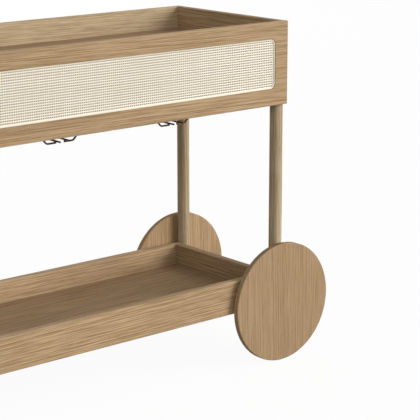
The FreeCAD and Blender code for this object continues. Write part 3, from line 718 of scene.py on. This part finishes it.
def lofted(name: str, loops: list[Loop], capped: bool) -> bpy.types.Object:
    """Make a closed piece from loops of points that all have as many points.

    Args:
        name: the object's name.
        loops: the loops, in order over the piece's skin.
        capped: whether the first and last loops are filled, or else joined to each other.

    Returns:
        The object.
    """
    mesh = bmesh.new()
    rings = [[mesh.verts.new(point) for point in loop] for loop in loops]
    for ring, following in zip(rings, rings[1:] if capped else rings[1:] + rings[:1]):
        for step, corner in enumerate(ring):
            after = (step + 1) % len(ring)
            mesh.faces.new((corner, ring[after], following[after], following[step]))
    if capped:
        mesh.faces.new(rings[0][::-1])
        mesh.faces.new(rings[-1])
    bmesh.ops.recalc_face_normals(mesh, faces=mesh.faces)
    data = bpy.data.meshes.new(name)
    mesh.to_mesh(data)
    mesh.free()
    return add_object(name, data)


def loop_about(radius: float | Callable[[float], float], height: float | Callable[[float], float],
               count: int) -> Loop:
    """Make a loop of points about Z.

    Args:
        radius: the distance from Z, or what gives it at an angle.
        height: the height, or what gives it at a radius.
        count: how many points.

    Returns:
        The points.
    """
    points = []
    for step in range(count):
        angle = 2 * math.pi * step / count
        out = radius(angle) if callable(radius) else radius
        points.append(Vector((out * math.cos(angle), out * math.sin(angle),
                              height(out) if callable(height) else height)))
    return points


def polygon(across: float, sides: int) -> Callable[[float], float]:
    """The radius of a polygon at an angle, from its size across the flats."""
    wedge = 2 * math.pi / sides
    return lambda angle: across / 2 / math.cos(angle % wedge - wedge / 2)


def cross(reach: float, arm_step: float) -> Callable[[float], float]:
    """Work out the radius of an upright cross at an angle.

    Args:
        reach: how far its arms reach.
        arm_step: the angle from an arm's axis to its corner.

    Returns:
        What gives the radius at an angle.
    """
    arm_half = reach * math.tan(arm_step)

    def radius(angle: float) -> float:
        """The end of an arm near an axis, the side of an arm elsewhere."""
        turned = abs((angle + math.pi / 4) % (math.pi / 2) - math.pi / 4)
        return reach / math.cos(turned) if turned <= arm_step * ARM_SLACK else arm_half / math.sin(turned)
    return radius


def grown(thing: bpy.types.Object, tree: bpy.types.NodeTree, values: dict[str, object]) -> bpy.types.Object:
    """Run a tree on an object and keep the result as its plain mesh.

    Args:
        thing: the object that the tree runs on.
        tree: a tree that ends in realised, dressed geometry.
        values: the tree's inputs by name.

    Returns:
        The same object, with the result as its mesh and no modifier.
    """
    modifier = thing.modifiers.new(tree.name, "NODES")
    modifier.node_group = tree
    for socket in tree.interface.items_tree:
        if socket.in_out == "INPUT" and socket.name in values:
            modifier[socket.identifier] = values[socket.name]
    evaluated = thing.evaluated_get(bpy.context.evaluated_depsgraph_get())
    result = bpy.data.meshes.new_from_object(evaluated)
    thing.modifiers.clear()
    thing.data = result
    return thing


def seated(piece: bpy.types.Object, body: str, slot: str, *nodes: str) -> None:
    """Hand a finished piece to its body.

    Args:
        piece: the finished piece.
        body: the body that it moves with.
        slot: not used.
        nodes: the CAD nodes that it stands for.
    """
    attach(piece, body)
    if nodes:
        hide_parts(*nodes)
    LOG.info("%s: %d faces on %s", piece.name, len(piece.data.polygons), body)


def dress(node: str, material: bpy.types.Material) -> None:
    """Give a CAD node its finish.

    Args:
        node: the CAD node.
        material: the finish.
    """
    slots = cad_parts[node].data.materials
    slots.clear()
    slots.append(material)
    LOG.info("%s: dressed in %s", node, material.name)


# Geometry Nodes trees

STRAND_CORNERS = 8
SAMPLES_PER_CROSSING = 2
BEAD_CORNER_POINTS = 10
BEAD_EDGE_POINTS = 4
BEAD_EASING = 0.3


def end_tree(w: Wiring, given: Sockets, out: Sockets, shape: Socket) -> bpy.types.NodeTree:
    """End a tree with realised, smooth, dressed geometry.

    Args:
        w: the tree's wiring.
        given: its inputs, one of them named Finish.
        out: its outputs.
        shape: the geometry to end with.

    Returns:
        The tree.
    """
    real = w.make("GeometryNodeRealizeInstances", {"Geometry": shape})
    smooth = w.make("GeometryNodeSetShadeSmooth", {"Geometry": real, "Shade Smooth": True})
    w.link(w.make("GeometryNodeSetMaterial", {"Geometry": smooth, "Material": given["Finish"]}), out[0])
    return w.tree


def weave_tree() -> bpy.types.NodeTree:
    """Build flat strands that pass over and under those across them, trimmed to a rounded field.

    Returns:
        The tree.
    """
    w, given, out = new_tree("cane_weave", Family.GEOMETRY, {
        "Geometry": Kind.SHAPE, "Along": Kind.VECTOR, "Across": Kind.VECTOR, "Outward": Kind.VECTOR,
        "Strands": Kind.COUNT, "Crossings": Kind.COUNT, "Pitch": Kind.NUMBER, "Strand Width": Kind.NUMBER,
        "Strand Thickness": Kind.NUMBER, "Lift": Kind.NUMBER, "Tail": Kind.NUMBER, "Half Field": Kind.VECTOR,
        "Corner": Kind.NUMBER, "Centre": Kind.VECTOR, "Finish": Kind.FINISH,
    }, {"Geometry": Kind.SHAPE})
    pitch = given["Pitch"]
    length = w.math("MULTIPLY", given["Crossings"], pitch)
    spread = w.math("MULTIPLY", w.math("SUBTRACT", given["Strands"], 1), pitch)
    start = w.vector("ADD", w.scaled(given["Along"], w.math("MULTIPLY", length, -0.5)),
                     w.scaled(given["Across"], w.math("MULTIPLY", spread, -0.5)))
    rows = w.make("GeometryNodeMeshLine", {
        "Count": given["Strands"], "Start Location": start, "Offset": w.scaled(given["Across"], pitch),
    }, mode="OFFSET")
    line = w.make("GeometryNodeCurvePrimitiveLine", {"End": w.scaled(given["Along"], length)})
    samples = w.math("MULTIPLY_ADD", given["Crossings"], SAMPLES_PER_CROSSING, 1)
    strand = w.make("GeometryNodeResampleCurve", {"Curve": line, "Count": samples})
    field = w.make("GeometryNodeInstanceOnPoints", {"Points": rows, "Instance": strand})
    field = w.make("GeometryNodeRealizeInstances", {"Geometry": field})
    place = w.make("GeometryNodeInputPosition")

    def waves(axis: Socket, count: Socket) -> Socket:
        """Make a wave with a crest on every other strand that crosses an axis.

        Args:
            axis: the axis.
            count: how many strands cross it.

        Returns:
            The wave, from -1 to 1.
        """
        steps = w.math("DIVIDE", w.vector("DOT_PRODUCT", place, axis), pitch)
        shifted = w.math("ADD", steps, w.math("DIVIDE", w.math("SUBTRACT", count, 1), 2))
        return w.math("COSINE", w.math("MULTIPLY", shifted, math.pi))

    wave = w.math("MULTIPLY", waves(given["Along"], given["Crossings"]),
                  waves(given["Across"], given["Strands"]))
    corner = given["Corner"]
    straight = w.vector("SUBTRACT", given["Half Field"], w.join(corner, 0.0, corner))
    beyond = w.vector("SUBTRACT", w.vector("ABSOLUTE", place), straight)
    beyond = w.vector("MAXIMUM", (0.0, 0.0, 0.0), beyond)
    outside = w.math("GREATER_THAN", w.vector("LENGTH", beyond), corner)
    trimmed = w.make("GeometryNodeDeleteGeometry", {"Geometry": field, "Selection": outside})
    lift = w.scaled(given["Outward"], w.math("MULTIPLY", wave, given["Lift"]))
    end = w.math("SIGN", w.vector("DOT_PRODUCT", place, given["Along"]))
    tail = w.scaled(given["Along"], w.math("MULTIPLY", end, given["Tail"]))
    ends = w.make("GeometryNodeCurveEndpointSelection")
    tailed = w.make("GeometryNodeSetPosition", {"Geometry": trimmed, "Selection": ends, "Offset": tail})
    lifted = w.make("GeometryNodeSetPosition", {
        "Geometry": tailed, "Offset": w.vector("ADD", given["Centre"], lift)})
    facing = w.make("GeometryNodeSetCurveNormal", {"Curve": lifted, "Normal": given["Across"]}, mode="FREE")
    circle = w.make("GeometryNodeCurvePrimitiveCircle", {"Resolution": STRAND_CORNERS, "Radius": 0.5})
    oval = w.make("GeometryNodeTransform", {
        "Geometry": circle, "Scale": w.join(given["Strand Width"], given["Strand Thickness"], 1.0)})
    strips = w.make("GeometryNodeCurveToMesh", {"Curve": facing, "Profile Curve": oval, "Fill Caps": True})
    return end_tree(w, given, out, strips)


def bead_tree() -> bpy.types.NodeTree:
    """Build a flat bead with eased edges, laid along a rounded rectangle that stands upright.

    Returns:
        The tree.
    """
    w, given, out = new_tree("reed_bead", Family.GEOMETRY, {
        "Geometry": Kind.SHAPE, "Length": Kind.NUMBER, "Height": Kind.NUMBER, "Corner": Kind.NUMBER,
        "Bead Width": Kind.NUMBER, "Bead Depth": Kind.NUMBER, "Centre": Kind.VECTOR, "Finish": Kind.FINISH,
    }, {"Geometry": Kind.SHAPE})

    def rounded(width: Socket, height: Socket, radius: Socket, points: int) -> Socket:
        """A rectangle with rounded corners."""
        sides = w.make("GeometryNodeCurvePrimitiveQuadrilateral", {"Width": width, "Height": height})
        return w.make("GeometryNodeFilletCurve", {
            "Curve": sides, "Count": points, "Radius": radius}, mode="POLY")

    course = rounded(given["Length"], given["Height"], given["Corner"], BEAD_CORNER_POINTS)
    eased = w.math("MULTIPLY", given["Bead Depth"], BEAD_EASING)
    section = rounded(given["Bead Width"], given["Bead Depth"], eased, BEAD_EDGE_POINTS)
    bead = w.make("GeometryNodeCurveToMesh", {"Curve": course, "Profile Curve": section})
    upright = w.make("GeometryNodeTransform", {
        "Geometry": bead, "Translation": given["Centre"], "Rotation": (math.pi / 2, 0.0, 0.0)})
    return end_tree(w, given, out, upright)


def set_out_tree() -> bpy.types.NodeTree:
    """Build one copy of a small part, turned one way, on every point of the object.

    Returns:
        The tree.
    """
    w, given, out = new_tree("set_out", Family.GEOMETRY, {
        "Geometry": Kind.SHAPE, "Part": Kind.THING, "Turn": Kind.VECTOR, "Finish": Kind.FINISH,
    }, {"Geometry": Kind.SHAPE})
    part = w.add("GeometryNodeObjectInfo", {"Object": given["Part"]}).outputs["Geometry"]
    copies = w.make("GeometryNodeInstanceOnPoints", {
        "Points": given["Geometry"], "Instance": part, "Rotation": given["Turn"]})
    return end_tree(w, given, out, copies)


WEAVE = weave_tree()
BEAD = bead_tree()
SET_OUT = set_out_tree()


# Small parts, each standing on the origin and pointing along Z

@dataclass(frozen=True)
class Fitting:
    """A small part that is set out in copies."""

    def loops(self) -> list[Loop]:
        """The loops of its skin."""
        raise NotImplementedError

    @property
    def capped(self) -> bool:
        """Whether its first and last loops are filled."""
        return True

    def set_out(self, name: str, spots: list[Vector], pointing: Vector, finish: bpy.types.Material,
                slot: str, *nodes: str, body: str = FIXED) -> None:
        """Place copies of the part as one piece, and hand it to its body.

        Args:
            name: the new piece's name.
            spots: where the copies stand.
            pointing: the way that they point.
            finish: their material.
            slot: a material slot name, handed on to seated.
            nodes: the CAD nodes that they stand for.
            body: the body that they move with.
        """
        part = lofted(f"{name}_pattern", self.loops(), self.capped)
        points = bpy.data.meshes.new(name)
        points.from_pydata([tuple(spot) for spot in spots], [], [])
        turn = Vector(pointing.to_track_quat("Z", "Y").to_euler())
        piece = grown(add_object(name, points), SET_OUT, {"Part": part, "Turn": turn, "Finish": finish})
        bpy.data.objects.remove(part)
        piece.data.set_sharp_from_angle(angle=SHARP_ANGLE)
        seated(piece, body, slot, *nodes)


@dataclass(frozen=True)
class Screw(Fitting):
    """A round-headed screw with its shank below the origin; tip, dome and recess are shares of its size."""

    head: float
    height: float
    shank: float
    length: float
    corners: int = 32
    tip: Span = (0.7, 0.5)
    dome: tuple[Span, ...] = ((0.96, 0.0), (1.0, 0.08), (1.0, 0.4), (0.94, 0.7), (0.82, 0.9), (0.68, 1.0))
    recess_floor: float = 0.3

    def recess(self, angle: float) -> float:
        """The radius of the driver's recess at an angle."""
        raise NotImplementedError

    def loops(self) -> list[Loop]:
        """Draw the tip, shank, domed head and recess.

        Returns:
            The loops of the screw's skin.
        """
        stem = self.shank / 2
        blunt, taper = [share * stem for share in self.tip]
        skin = [(blunt, -self.length), (stem, taper - self.length), (stem, 0.0)]
        skin += [(wide * self.head / 2, high * self.height) for wide, high in self.dome]
        skin += [(self.recess, level * self.height) for level in (1.0, self.recess_floor)]
        return [loop_about(radius, height, self.corners) for radius, height in skin]


@dataclass(frozen=True)
class SocketScrew(Screw):
    """A screw driven by a hexagon key."""

    key: float = 0.42

    def recess(self, angle: float) -> float:
        """A hexagon."""
        return polygon(self.key * self.head, HEXAGON)(angle)


@dataclass(frozen=True)
class CrossScrew(Screw):
    """A screw with a cross recess."""

    reach: float = 0.29

    def recess(self, angle: float) -> float:
        """A cross whose arms are two points wide."""
        return cross(self.reach * self.head, 2 * math.pi / self.corners)(angle)


@dataclass(frozen=True)
class HexNut(Fitting):
    """A nut whose corners are turned off at both ends; its faces and mouths are shares of its size."""

    across: float
    height: float
    bore: float
    corners: int = 48
    face: float = 0.47
    mouth: float = 0.54
    thread: float = 0.502
    chamfer: float = math.radians(30)

    @property
    def capped(self) -> bool:
        """The bore is open."""
        return False

    def loops(self) -> list[Loop]:
        """Draw the bore's mouths and the chamfered hexagon between them.

        Returns:
            The loops of the nut's skin.
        """
        face, mouth, bore = self.face * self.across, self.mouth * self.bore, self.thread * self.bore
        hexagon = polygon(self.across, HEXAGON)

        def drop(radius: float) -> float:
            """How far the chamfer has fallen at a radius."""
            return (radius - face) * math.tan(self.chamfer)

        lip, top = mouth - bore, self.height
        skin = [(bore, top - lip), (bore, lip), (mouth, 0.0), (face, 0.0), (hexagon, drop),
                (hexagon, lambda radius: top - drop(radius)), (face, top), (mouth, top)]
        return [loop_about(radius, height, self.corners) for radius, height in skin]


@dataclass(frozen=True)
class RoundedEnd(Fitting):
    """The domed end of a wire, its root hidden in the wire; its sizes are shares of the wire's radius."""

    wire: float
    steps: int = 5
    corners: int = 14
    root: Span = (0.9, -0.2)
    foot: float = 1.005
    rise: float = 0.8
    last: float = math.radians(84)

    def loops(self) -> list[Loop]:
        """Draw a root inside the wire, then the dome.

        Returns:
            The loops of the end's skin.
        """
        angles = [self.last * step / self.steps for step in range(self.steps + 1)]
        dome = [(self.foot * math.cos(angle), self.rise * math.sin(angle)) for angle in angles]
        return [loop_about(wide * self.wire / 2, high * self.wire / 2, self.corners)
                for wide, high in [self.root, *dome]]


@dataclass(frozen=True)
class WeldBead(Fitting):
    """A lump of weld between two crossing wires, drawn out along Y; its sizes are shares of the wire."""

    wire: float
    steps: int = 6
    corners: int = 12
    size: tuple[float, float, float] = (0.62, 0.8, 0.55)
    last: float = math.radians(78)

    def loops(self) -> list[Loop]:
        """Draw a flattened egg.

        Returns:
            The loops of the weld's skin.
        """
        angles = [self.last * (2 * step / self.steps - 1) for step in range(self.steps + 1)]
        egg = [loop_about(self.wire * math.cos(angle), self.wire * math.sin(angle), self.corners)
               for angle in angles]
        return [[point * Vector(self.size) for point in loop] for loop in egg]


# Sub-assemblies

@dataclass(frozen=True)
class Plank:
    """One oak board: its node, its grain, where the heart of its log lies and its tone, painted light and
    shade included.
    """

    node: str
    grain: Grain
    seed: float
    heart: Span
    tone: Tone = Tone()

    def dress(self) -> None:
        """Give the board its own stretch of oak."""
        dress(self.node, OAK.material(self.node, self.grain, self.seed, self.heart, self.tone))


@dataclass
class CanePanel:
    """The woven cane and its reed bead in one long side of the upper tray."""

    side: str
    outward: Vector
    rows: int = 20
    pitch: float = 5.35 * MM
    drop: float = 1.3 * MM
    weft_width: float = 3.1 * MM
    warp_width: float = 2.0 * MM
    thickness: float = 0.45 * MM
    lift: float = 0.24 * MM
    corner: float = 12.8 * MM
    bead_width: float = 3.2 * MM
    bead_crown: float = 1.7 * MM

    def build(self) -> None:
        """Make the strands that run each way, and the bead over their ends."""
        sheet = Box.of(f"{self.side}_cane")
        columns = 2 * math.floor(sheet.half.x / self.pitch)
        field = sheet.half - Vector((self.drop, 0, self.drop))
        face = sheet.half.y - self.thickness / 2 - self.lift
        centre = sheet.centre - UP * self.drop + self.outward * face
        for name, grain, way, across, strands, crossings, width, crest in (
                ("weft", Grain.ALONG, RIGHT, UP, self.rows, columns, self.weft_width, self.lift),
                ("warp", Grain.UPRIGHT, UP, RIGHT, columns, self.rows, self.warp_width, -self.lift)):
            name = f"{self.side}_cane_{name}"
            strips = grown(add_object(name, bpy.data.meshes.new(name)), WEAVE, {
                "Along": way, "Across": across, "Outward": self.outward, "Strands": strands,
                "Crossings": crossings, "Pitch": self.pitch, "Strand Width": width,
                "Strand Thickness": self.thickness, "Lift": crest, "Tail": self.drop, "Half Field": field,
                "Corner": self.corner, "Centre": centre, "Finish": CANE.material(name, grain),
            })
            seated(strips, FIXED, "cane", f"{self.side}_cane")
        self.build_bead(sheet)

    def build_bead(self, sheet: Box) -> None:
        """Lay the bead round the edge of the recess, half sunk in the sheet.

        Args:
            sheet: the box of the cane.
        """
        name = f"{self.side}_cane_bead"
        bead = grown(add_object(name, bpy.data.meshes.new(name)), BEAD, {
            "Length": 2 * sheet.half.x - self.bead_width, "Height": 2 * sheet.half.z - self.bead_width,
            "Corner": self.corner - self.bead_width / 2, "Bead Width": self.bead_width,
            "Bead Depth": 2 * self.bead_crown, "Centre": sheet.centre + self.outward * sheet.half.y,
            "Finish": REED.material(name, Grain.ALONG),
        })
        seated(bead, FIXED, "reed", f"{self.side}_cane_spline")


@dataclass
class Tray:
    """A tray of oak boards, with two lines of screws in the underside of one of them."""

    planks: tuple[Plank, ...]
    screw: CrossScrew
    screw_inset: float
    screws_in_line: int

    def dress_boards(self) -> None:
        """Give each board its oak."""
        for plank in self.planks:
            plank.dress()

    def screw_up(self, name: str, node: str) -> None:
        """Set screws along the two long edges of a board's underside.

        Args:
            name: the screws' name.
            node: the board's node.
        """
        board = Box.of(node)
        step = 2 * board.half.x / self.screws_in_line
        spots = [Vector((board.low.x + (number + 0.5) * step, side * (board.half.y - self.screw_inset),
                         board.low.z))
                 for number in range(self.screws_in_line) for side in (-1, 1)]
        self.screw.set_out(name, spots, -UP, STEEL.material(f"steel_{node}"), "steel")


@dataclass
class UpperTray(Tray):
    """The box with the upper tray, its cane panels and its closing board."""

    # Each board's lightness and straw lean paint light and shade: the back panel paler and greyer for its lit
    # inner face, the floor and bottom darker for the little light they catch.
    planks: tuple[Plank, ...] = (
        Plank("upper_front_panel", Grain.ALONG, 2.7, (0.07, -0.20), Tone(1.05, figure=1.15)),
        Plank("upper_back_panel", Grain.ALONG, 2.3, (-0.08, -0.20), Tone(1.32, straw=0.8)),
        Plank("upper_right_end", Grain.ACROSS, 3.1, (0.10, 0.19), Tone(figure=1.2)),
        Plank("upper_left_end", Grain.ACROSS, 4.7, (-0.13, 0.20)),
        Plank("upper_floor", Grain.ALONG, 5.2, (0.22, -0.11), Tone(0.9)),
        Plank("upper_floor_cleats", Grain.ALONG, 6.4, (0.20, 0.20)),
        Plank("upper_bottom", Grain.ALONG, 7.9, (-0.20, 0.12), Tone(0.97)),
        Plank("upper_bottom_cleats", Grain.ALONG, 8.6, (0.20, -0.20)),
        Plank("upper_corner_dowels", Grain.ACROSS, 9.1, (0.05, 0.05)),
    )
    screw: CrossScrew = CrossScrew(head=7 * MM, height=2 * MM, shank=3.5 * MM, length=6 * MM)
    screw_inset: float = 8.5 * MM
    screws_in_line: int = 6

    def build(self) -> None:
        """Dress the boards, weave the panels and screw on the closing board."""
        self.dress_boards()
        CanePanel("front", -BACK).build()
        CanePanel("back", BACK).build()
        self.screw_up("upper_bottom_screws", "upper_bottom")


@dataclass
class LowerTray(Tray):
    """The lower tray between the posts."""

    # Each board's lightness and straw lean paint light and shade: the front and back panels paler, the right
    # end darker in its shade, for how much light each catches.
    planks: tuple[Plank, ...] = (
        Plank("lower_front_panel", Grain.ALONG, 11.3, (0.06, 0.16), Tone(1.14, figure=1.3)),
        Plank("lower_back_panel", Grain.ALONG, 12.6, (-0.07, -0.15), Tone(1.22, straw=0.2, figure=1.2)),
        Plank("lower_right_end", Grain.ACROSS, 13.2, (0.12, 0.16), Tone(0.92, figure=1.2)),
        Plank("lower_left_end", Grain.ACROSS, 14.8, (-0.15, -0.18)),
        Plank("lower_floor", Grain.ALONG, 15.5, (0.22, -0.12), Tone(0.98, figure=1.1)),
        Plank("lower_floor_cleats", Grain.ALONG, 16.1, (0.20, 0.20)),
        Plank("lower_corner_dowels", Grain.ACROSS, 17.4, (0.05, 0.05)),
    )
    screw: CrossScrew = CrossScrew(head=6.5 * MM, height=1.4 * MM, shank=3.5 * MM, length=6 * MM)
    screw_inset: float = 9 * MM
    screws_in_line: int = 6

    def build(self) -> None:
        """Dress the boards and screw the cleats up to the floor."""
        self.dress_boards()
        self.screw_up("lower_cleat_screws", "lower_floor_cleats")


@dataclass
class Posts:
    """The four turned posts, their studs, the screws that hold the lower tray and the glides of the legs."""

    corners: tuple[str, ...] = ("front_right", "front_left", "back_right", "back_left")
    legs: tuple[str, ...] = ("front_left", "back_left")
    first_seed: float = 21.3
    seed_step: float = 1.7
    heart: Span = (0.08, 0.12)
    # The posts' lightness and straw lean are painted light: paler and greyer for the light on them.
    tone: Tone = Tone(1.17, straw=1.0, figure=1.15)
    screw_head: float = 3 * MM
    screw_shank: float = 6 * MM

    def build(self) -> None:
        """Dress the posts and fit their screws."""
        for number, corner in enumerate(self.corners):
            node = f"post_{corner}"
            seed = self.first_seed + self.seed_step * number
            dress(node, OAK.material(node, Grain.UPRIGHT, seed, self.heart, self.tone, Outline.BAR))
        for corner in self.legs:
            dress(f"leg_glide_{corner}", NYLON.material(f"nylon_{corner}"))
        dress("post_studs", STEEL.material("steel_studs"))
        solids = Box.solids_of("tray_screws")
        length = 2 * solids[0].half.x - self.screw_head
        screw = SocketScrew(head=2 * solids[0].half.z, height=self.screw_head, shank=self.screw_shank,
                            length=length)
        for side, way in (("right", 1), ("left", -1)):
            spots = [solid.centre + RIGHT * way * (solid.half.x - self.screw_head)
                     for solid in solids if solid.centre.x * way > 0]
            name = f"tray_screws_{side}"
            screw.set_out(name, spots, RIGHT * way, STEEL.material(f"steel_{name}"), "steel", "tray_screws")


@dataclass
class Wheel:
    """One disc wheel with its hub, axle, washer and nut."""

    corner: str
    seed: float
    heart: Span
    tone: Tone
    nut_bore: float = 12 * MM

    def build(self) -> None:
        """Dress the disc and its fittings, and turn on the nut."""
        disc = f"wheel_disc_{self.corner}"
        dress(disc, OAK.material(disc, Grain.UPRIGHT, self.seed, self.heart, self.tone, Outline.DISC))
        steel = STEEL.material(f"steel_{self.corner}")
        for piece in ("wheel_hub", "hub_screws", "axle_washer"):
            dress(f"{piece}_{self.corner}", steel)
        dress(f"axle_bushes_{self.corner}", BRONZE.material(f"bronze_{self.corner}"))
        space = Box.of(f"axle_nut_{self.corner}")
        inward = BACK * -math.copysign(1, space.centre.y)
        HexNut(across=2 * space.half.z, height=2 * space.half.y, bore=self.nut_bore).set_out(
            f"turned_nut_{self.corner}", [space.centre - inward * space.half.y], inward, steel, "steel",
            f"axle_nut_{self.corner}", body=f"wheel_{self.corner}")


@dataclass
class StemRack:
    """One wire rack for stemware under the upper tray."""

    side: str
    wire: float = 4 * MM
    screw_head: float = 2.2 * MM
    screw_shank: float = 3.5 * MM

    def build(self) -> None:
        """Dress the wires, weld them, round their ends and screw them on."""
        finish = DARK_WIRE.material(f"dark_wire_{self.side}")
        for piece in ("rack_rails", "rack_hangers"):
            dress(f"{piece}_{self.side}", finish)
        rails = Box.of(f"rack_rails_{self.side}")
        lanes = [rails.low.x + self.wire / 2, rails.high.x - self.wire / 2]
        ends = [Vector((lane, rails.low.y, rails.centre.z)) for lane in lanes]
        RoundedEnd(self.wire).set_out(f"rail_ends_{self.side}", ends, -BACK, finish, "dark_wire")
        hangers = Box.solids_of(f"rack_hangers_{self.side}")
        rows = sorted({round(solid.centre.y, ROW_DECIMALS) for solid in hangers})
        welds = [Vector((lane, row, rails.low.z)) for lane in lanes for row in rows]
        WeldBead(self.wire).set_out(f"rack_welds_{self.side}", welds, UP, finish, "dark_wire")
        solids = Box.solids_of(f"rack_screws_{self.side}")
        length = 2 * solids[0].half.z - self.screw_head
        screw = CrossScrew(head=2 * solids[0].half.x, height=self.screw_head, shank=self.screw_shank,
                           length=length)
        seats = [Vector((solid.centre.x, solid.centre.y, solid.low.z + self.screw_head)) for solid in solids]
        screw.set_out(f"tab_screws_{self.side}", seats, -UP, finish, "dark_wire", f"rack_screws_{self.side}")


# Studio

@dataclass(frozen=True)
class Lamp:
    """A square soft light that faces the cart from a direction."""

    name: str
    direction: tuple[float, float, float]
    distance: float
    size: float
    watts: float


@dataclass
class Studio:
    """The pale floor, the soft light and the camera of the photograph."""

    lamps: tuple[Lamp, ...] = (
        Lamp("key", (0.63, -0.72, 0.29), distance=12.0, size=7.0, watts=1440.0),
        Lamp("left_fill", (-0.66, -0.66, 0.36), distance=12.0, size=7.5, watts=283.0),
        Lamp("back_fill", (0.25, 0.95, 0.10), distance=11.0, size=3.6, watts=755.0),
    )
    aim: tuple[float, float, float] = (0.0367, 0.0, 0.45)
    ambient: float = 0.40
    camera_place: tuple[float, float, float] = (-2.0484, -2.7961, 1.2424)
    camera_heading: float = math.radians(40.380)
    camera_tilt: float = math.radians(-13.887)
    camera_reach: float = 100.0
    lens: float = 135.91
    sensor: float = 36.0
    floor_half: float = 30.0
    floor_white: float = 0.94
    floor_colour: Colour = srgb(240, 240, 238)
    floor_bounce: Colour = srgb(160, 160, 158)
    floor_roughness: float = 0.9

    def build(self) -> None:
        """Set up everything round the cart."""
        bpy.context.scene.view_settings.view_transform = "Standard"
        self.build_floor()
        self.build_world()
        aim = Vector(self.aim)
        for lamp in self.lamps:
            data = bpy.data.lights.new(lamp.name, "AREA")
            data.energy, data.size = lamp.watts, lamp.size
            out = Vector(lamp.direction).normalized() * lamp.distance
            self.stand(bpy.data.objects.new(lamp.name, data), aim + out, -out)
        camera = bpy.data.objects.new("camera", bpy.data.cameras.new("camera"))
        camera.data.lens = self.lens
        camera.data.sensor_width = self.sensor
        camera.data.clip_end = self.camera_reach
        level = math.cos(self.camera_tilt)
        ahead = Vector((math.sin(self.camera_heading) * level, math.cos(self.camera_heading) * level,
                        math.sin(self.camera_tilt)))
        self.stand(camera, Vector(self.camera_place), ahead)
        bpy.context.scene.camera = camera

    @staticmethod
    def stand(thing: bpy.types.Object, place: Vector, ahead: Vector) -> None:
        """Put a lamp or the camera in its place.

        Args:
            thing: the lamp or the camera.
            place: where it stands.
            ahead: the way that it looks.
        """
        thing.location = place
        thing.rotation_euler = ahead.to_track_quat("-Z", "Y").to_euler()
        bpy.context.scene.collection.objects.link(thing)

    @staticmethod
    def seen_directly(w: Wiring) -> Socket:
        """Tell rays from the camera, a mirror or glass from those that only carry light.

        Args:
            w: the wiring of the floor or the world.

        Returns:
            One for rays that show the surface, nought for the others.
        """
        path = w.add("ShaderNodeLightPath").outputs
        sight = w.math("MAXIMUM", path["Is Camera Ray"], path["Is Glossy Ray"])
        return w.math("MAXIMUM", sight, path["Is Transmission Ray"])

    def build_floor(self) -> None:
        """Lay a pale floor that keeps the cart's shadow and is clear from underneath."""
        half = self.floor_half
        corners = [(-half, -half, 0), (half, -half, 0), (half, half, 0), (-half, half, 0)]
        mesh = bpy.data.meshes.new("floor")
        mesh.from_pydata(corners, [], [(0, 1, 2, 3)])
        w = Surface("pale_floor")
        w.settle({"Roughness": self.floor_roughness, "Specular IOR Level": 0.0})
        seen = self.seen_directly(w)
        w.link(w.mix(seen, self.floor_bounce, self.floor_colour), w.shader.inputs["Base Color"])
        lit = w.make("ShaderNodeMixShader", {
            0: w.math("MULTIPLY", seen, self.floor_white), 1: w.shader.outputs[0],
            2: w.make("ShaderNodeEmission", {"Strength": 1.0})})
        both = w.make("ShaderNodeMixShader", {
            0: w.add("ShaderNodeNewGeometry").outputs["Backfacing"], 1: lit,
            2: w.make("ShaderNodeBsdfTransparent")})
        w.link(both, w.tree.nodes["Material Output"].inputs["Surface"])
        mesh.materials.append(w.material)
        add_object("floor", mesh)

    def build_world(self) -> None:
        """Surround the cart with a soft even light, seen as white."""
        world = bpy.data.worlds.new("studio")
        world.use_nodes = True
        bpy.context.scene.world = world
        w = Wiring(world.node_tree)
        soft, white = [w.make("ShaderNodeBackground", {"Color": WHITE, "Strength": strength})
                       for strength in (self.ambient, 1.0)]
        both = w.make("ShaderNodeMixShader", {0: self.seen_directly(w), 1: soft, 2: white})
        w.link(both, world.node_tree.nodes["World Output"].inputs["Surface"])


def main() -> None:
    """Build the cart's looks, one sub-assembly after another."""
    logging.basicConfig(level=logging.INFO, format="%(name)s: %(message)s")
    UpperTray().build()
    LowerTray().build()
    Posts().build()
    Wheel("front_right", seed=31.0, heart=(0.10, 0.16), tone=Tone(figure=0.8)).build()
    # The back wheel is painted paler against the shade that falls on it.
    Wheel("back_right", seed=34.1, heart=(0.12, -0.15), tone=Tone(1.12)).build()
    for side in ("right", "left"):
        StemRack(side).build()
    Studio().build()


if __name__ == "__main__":
    main()
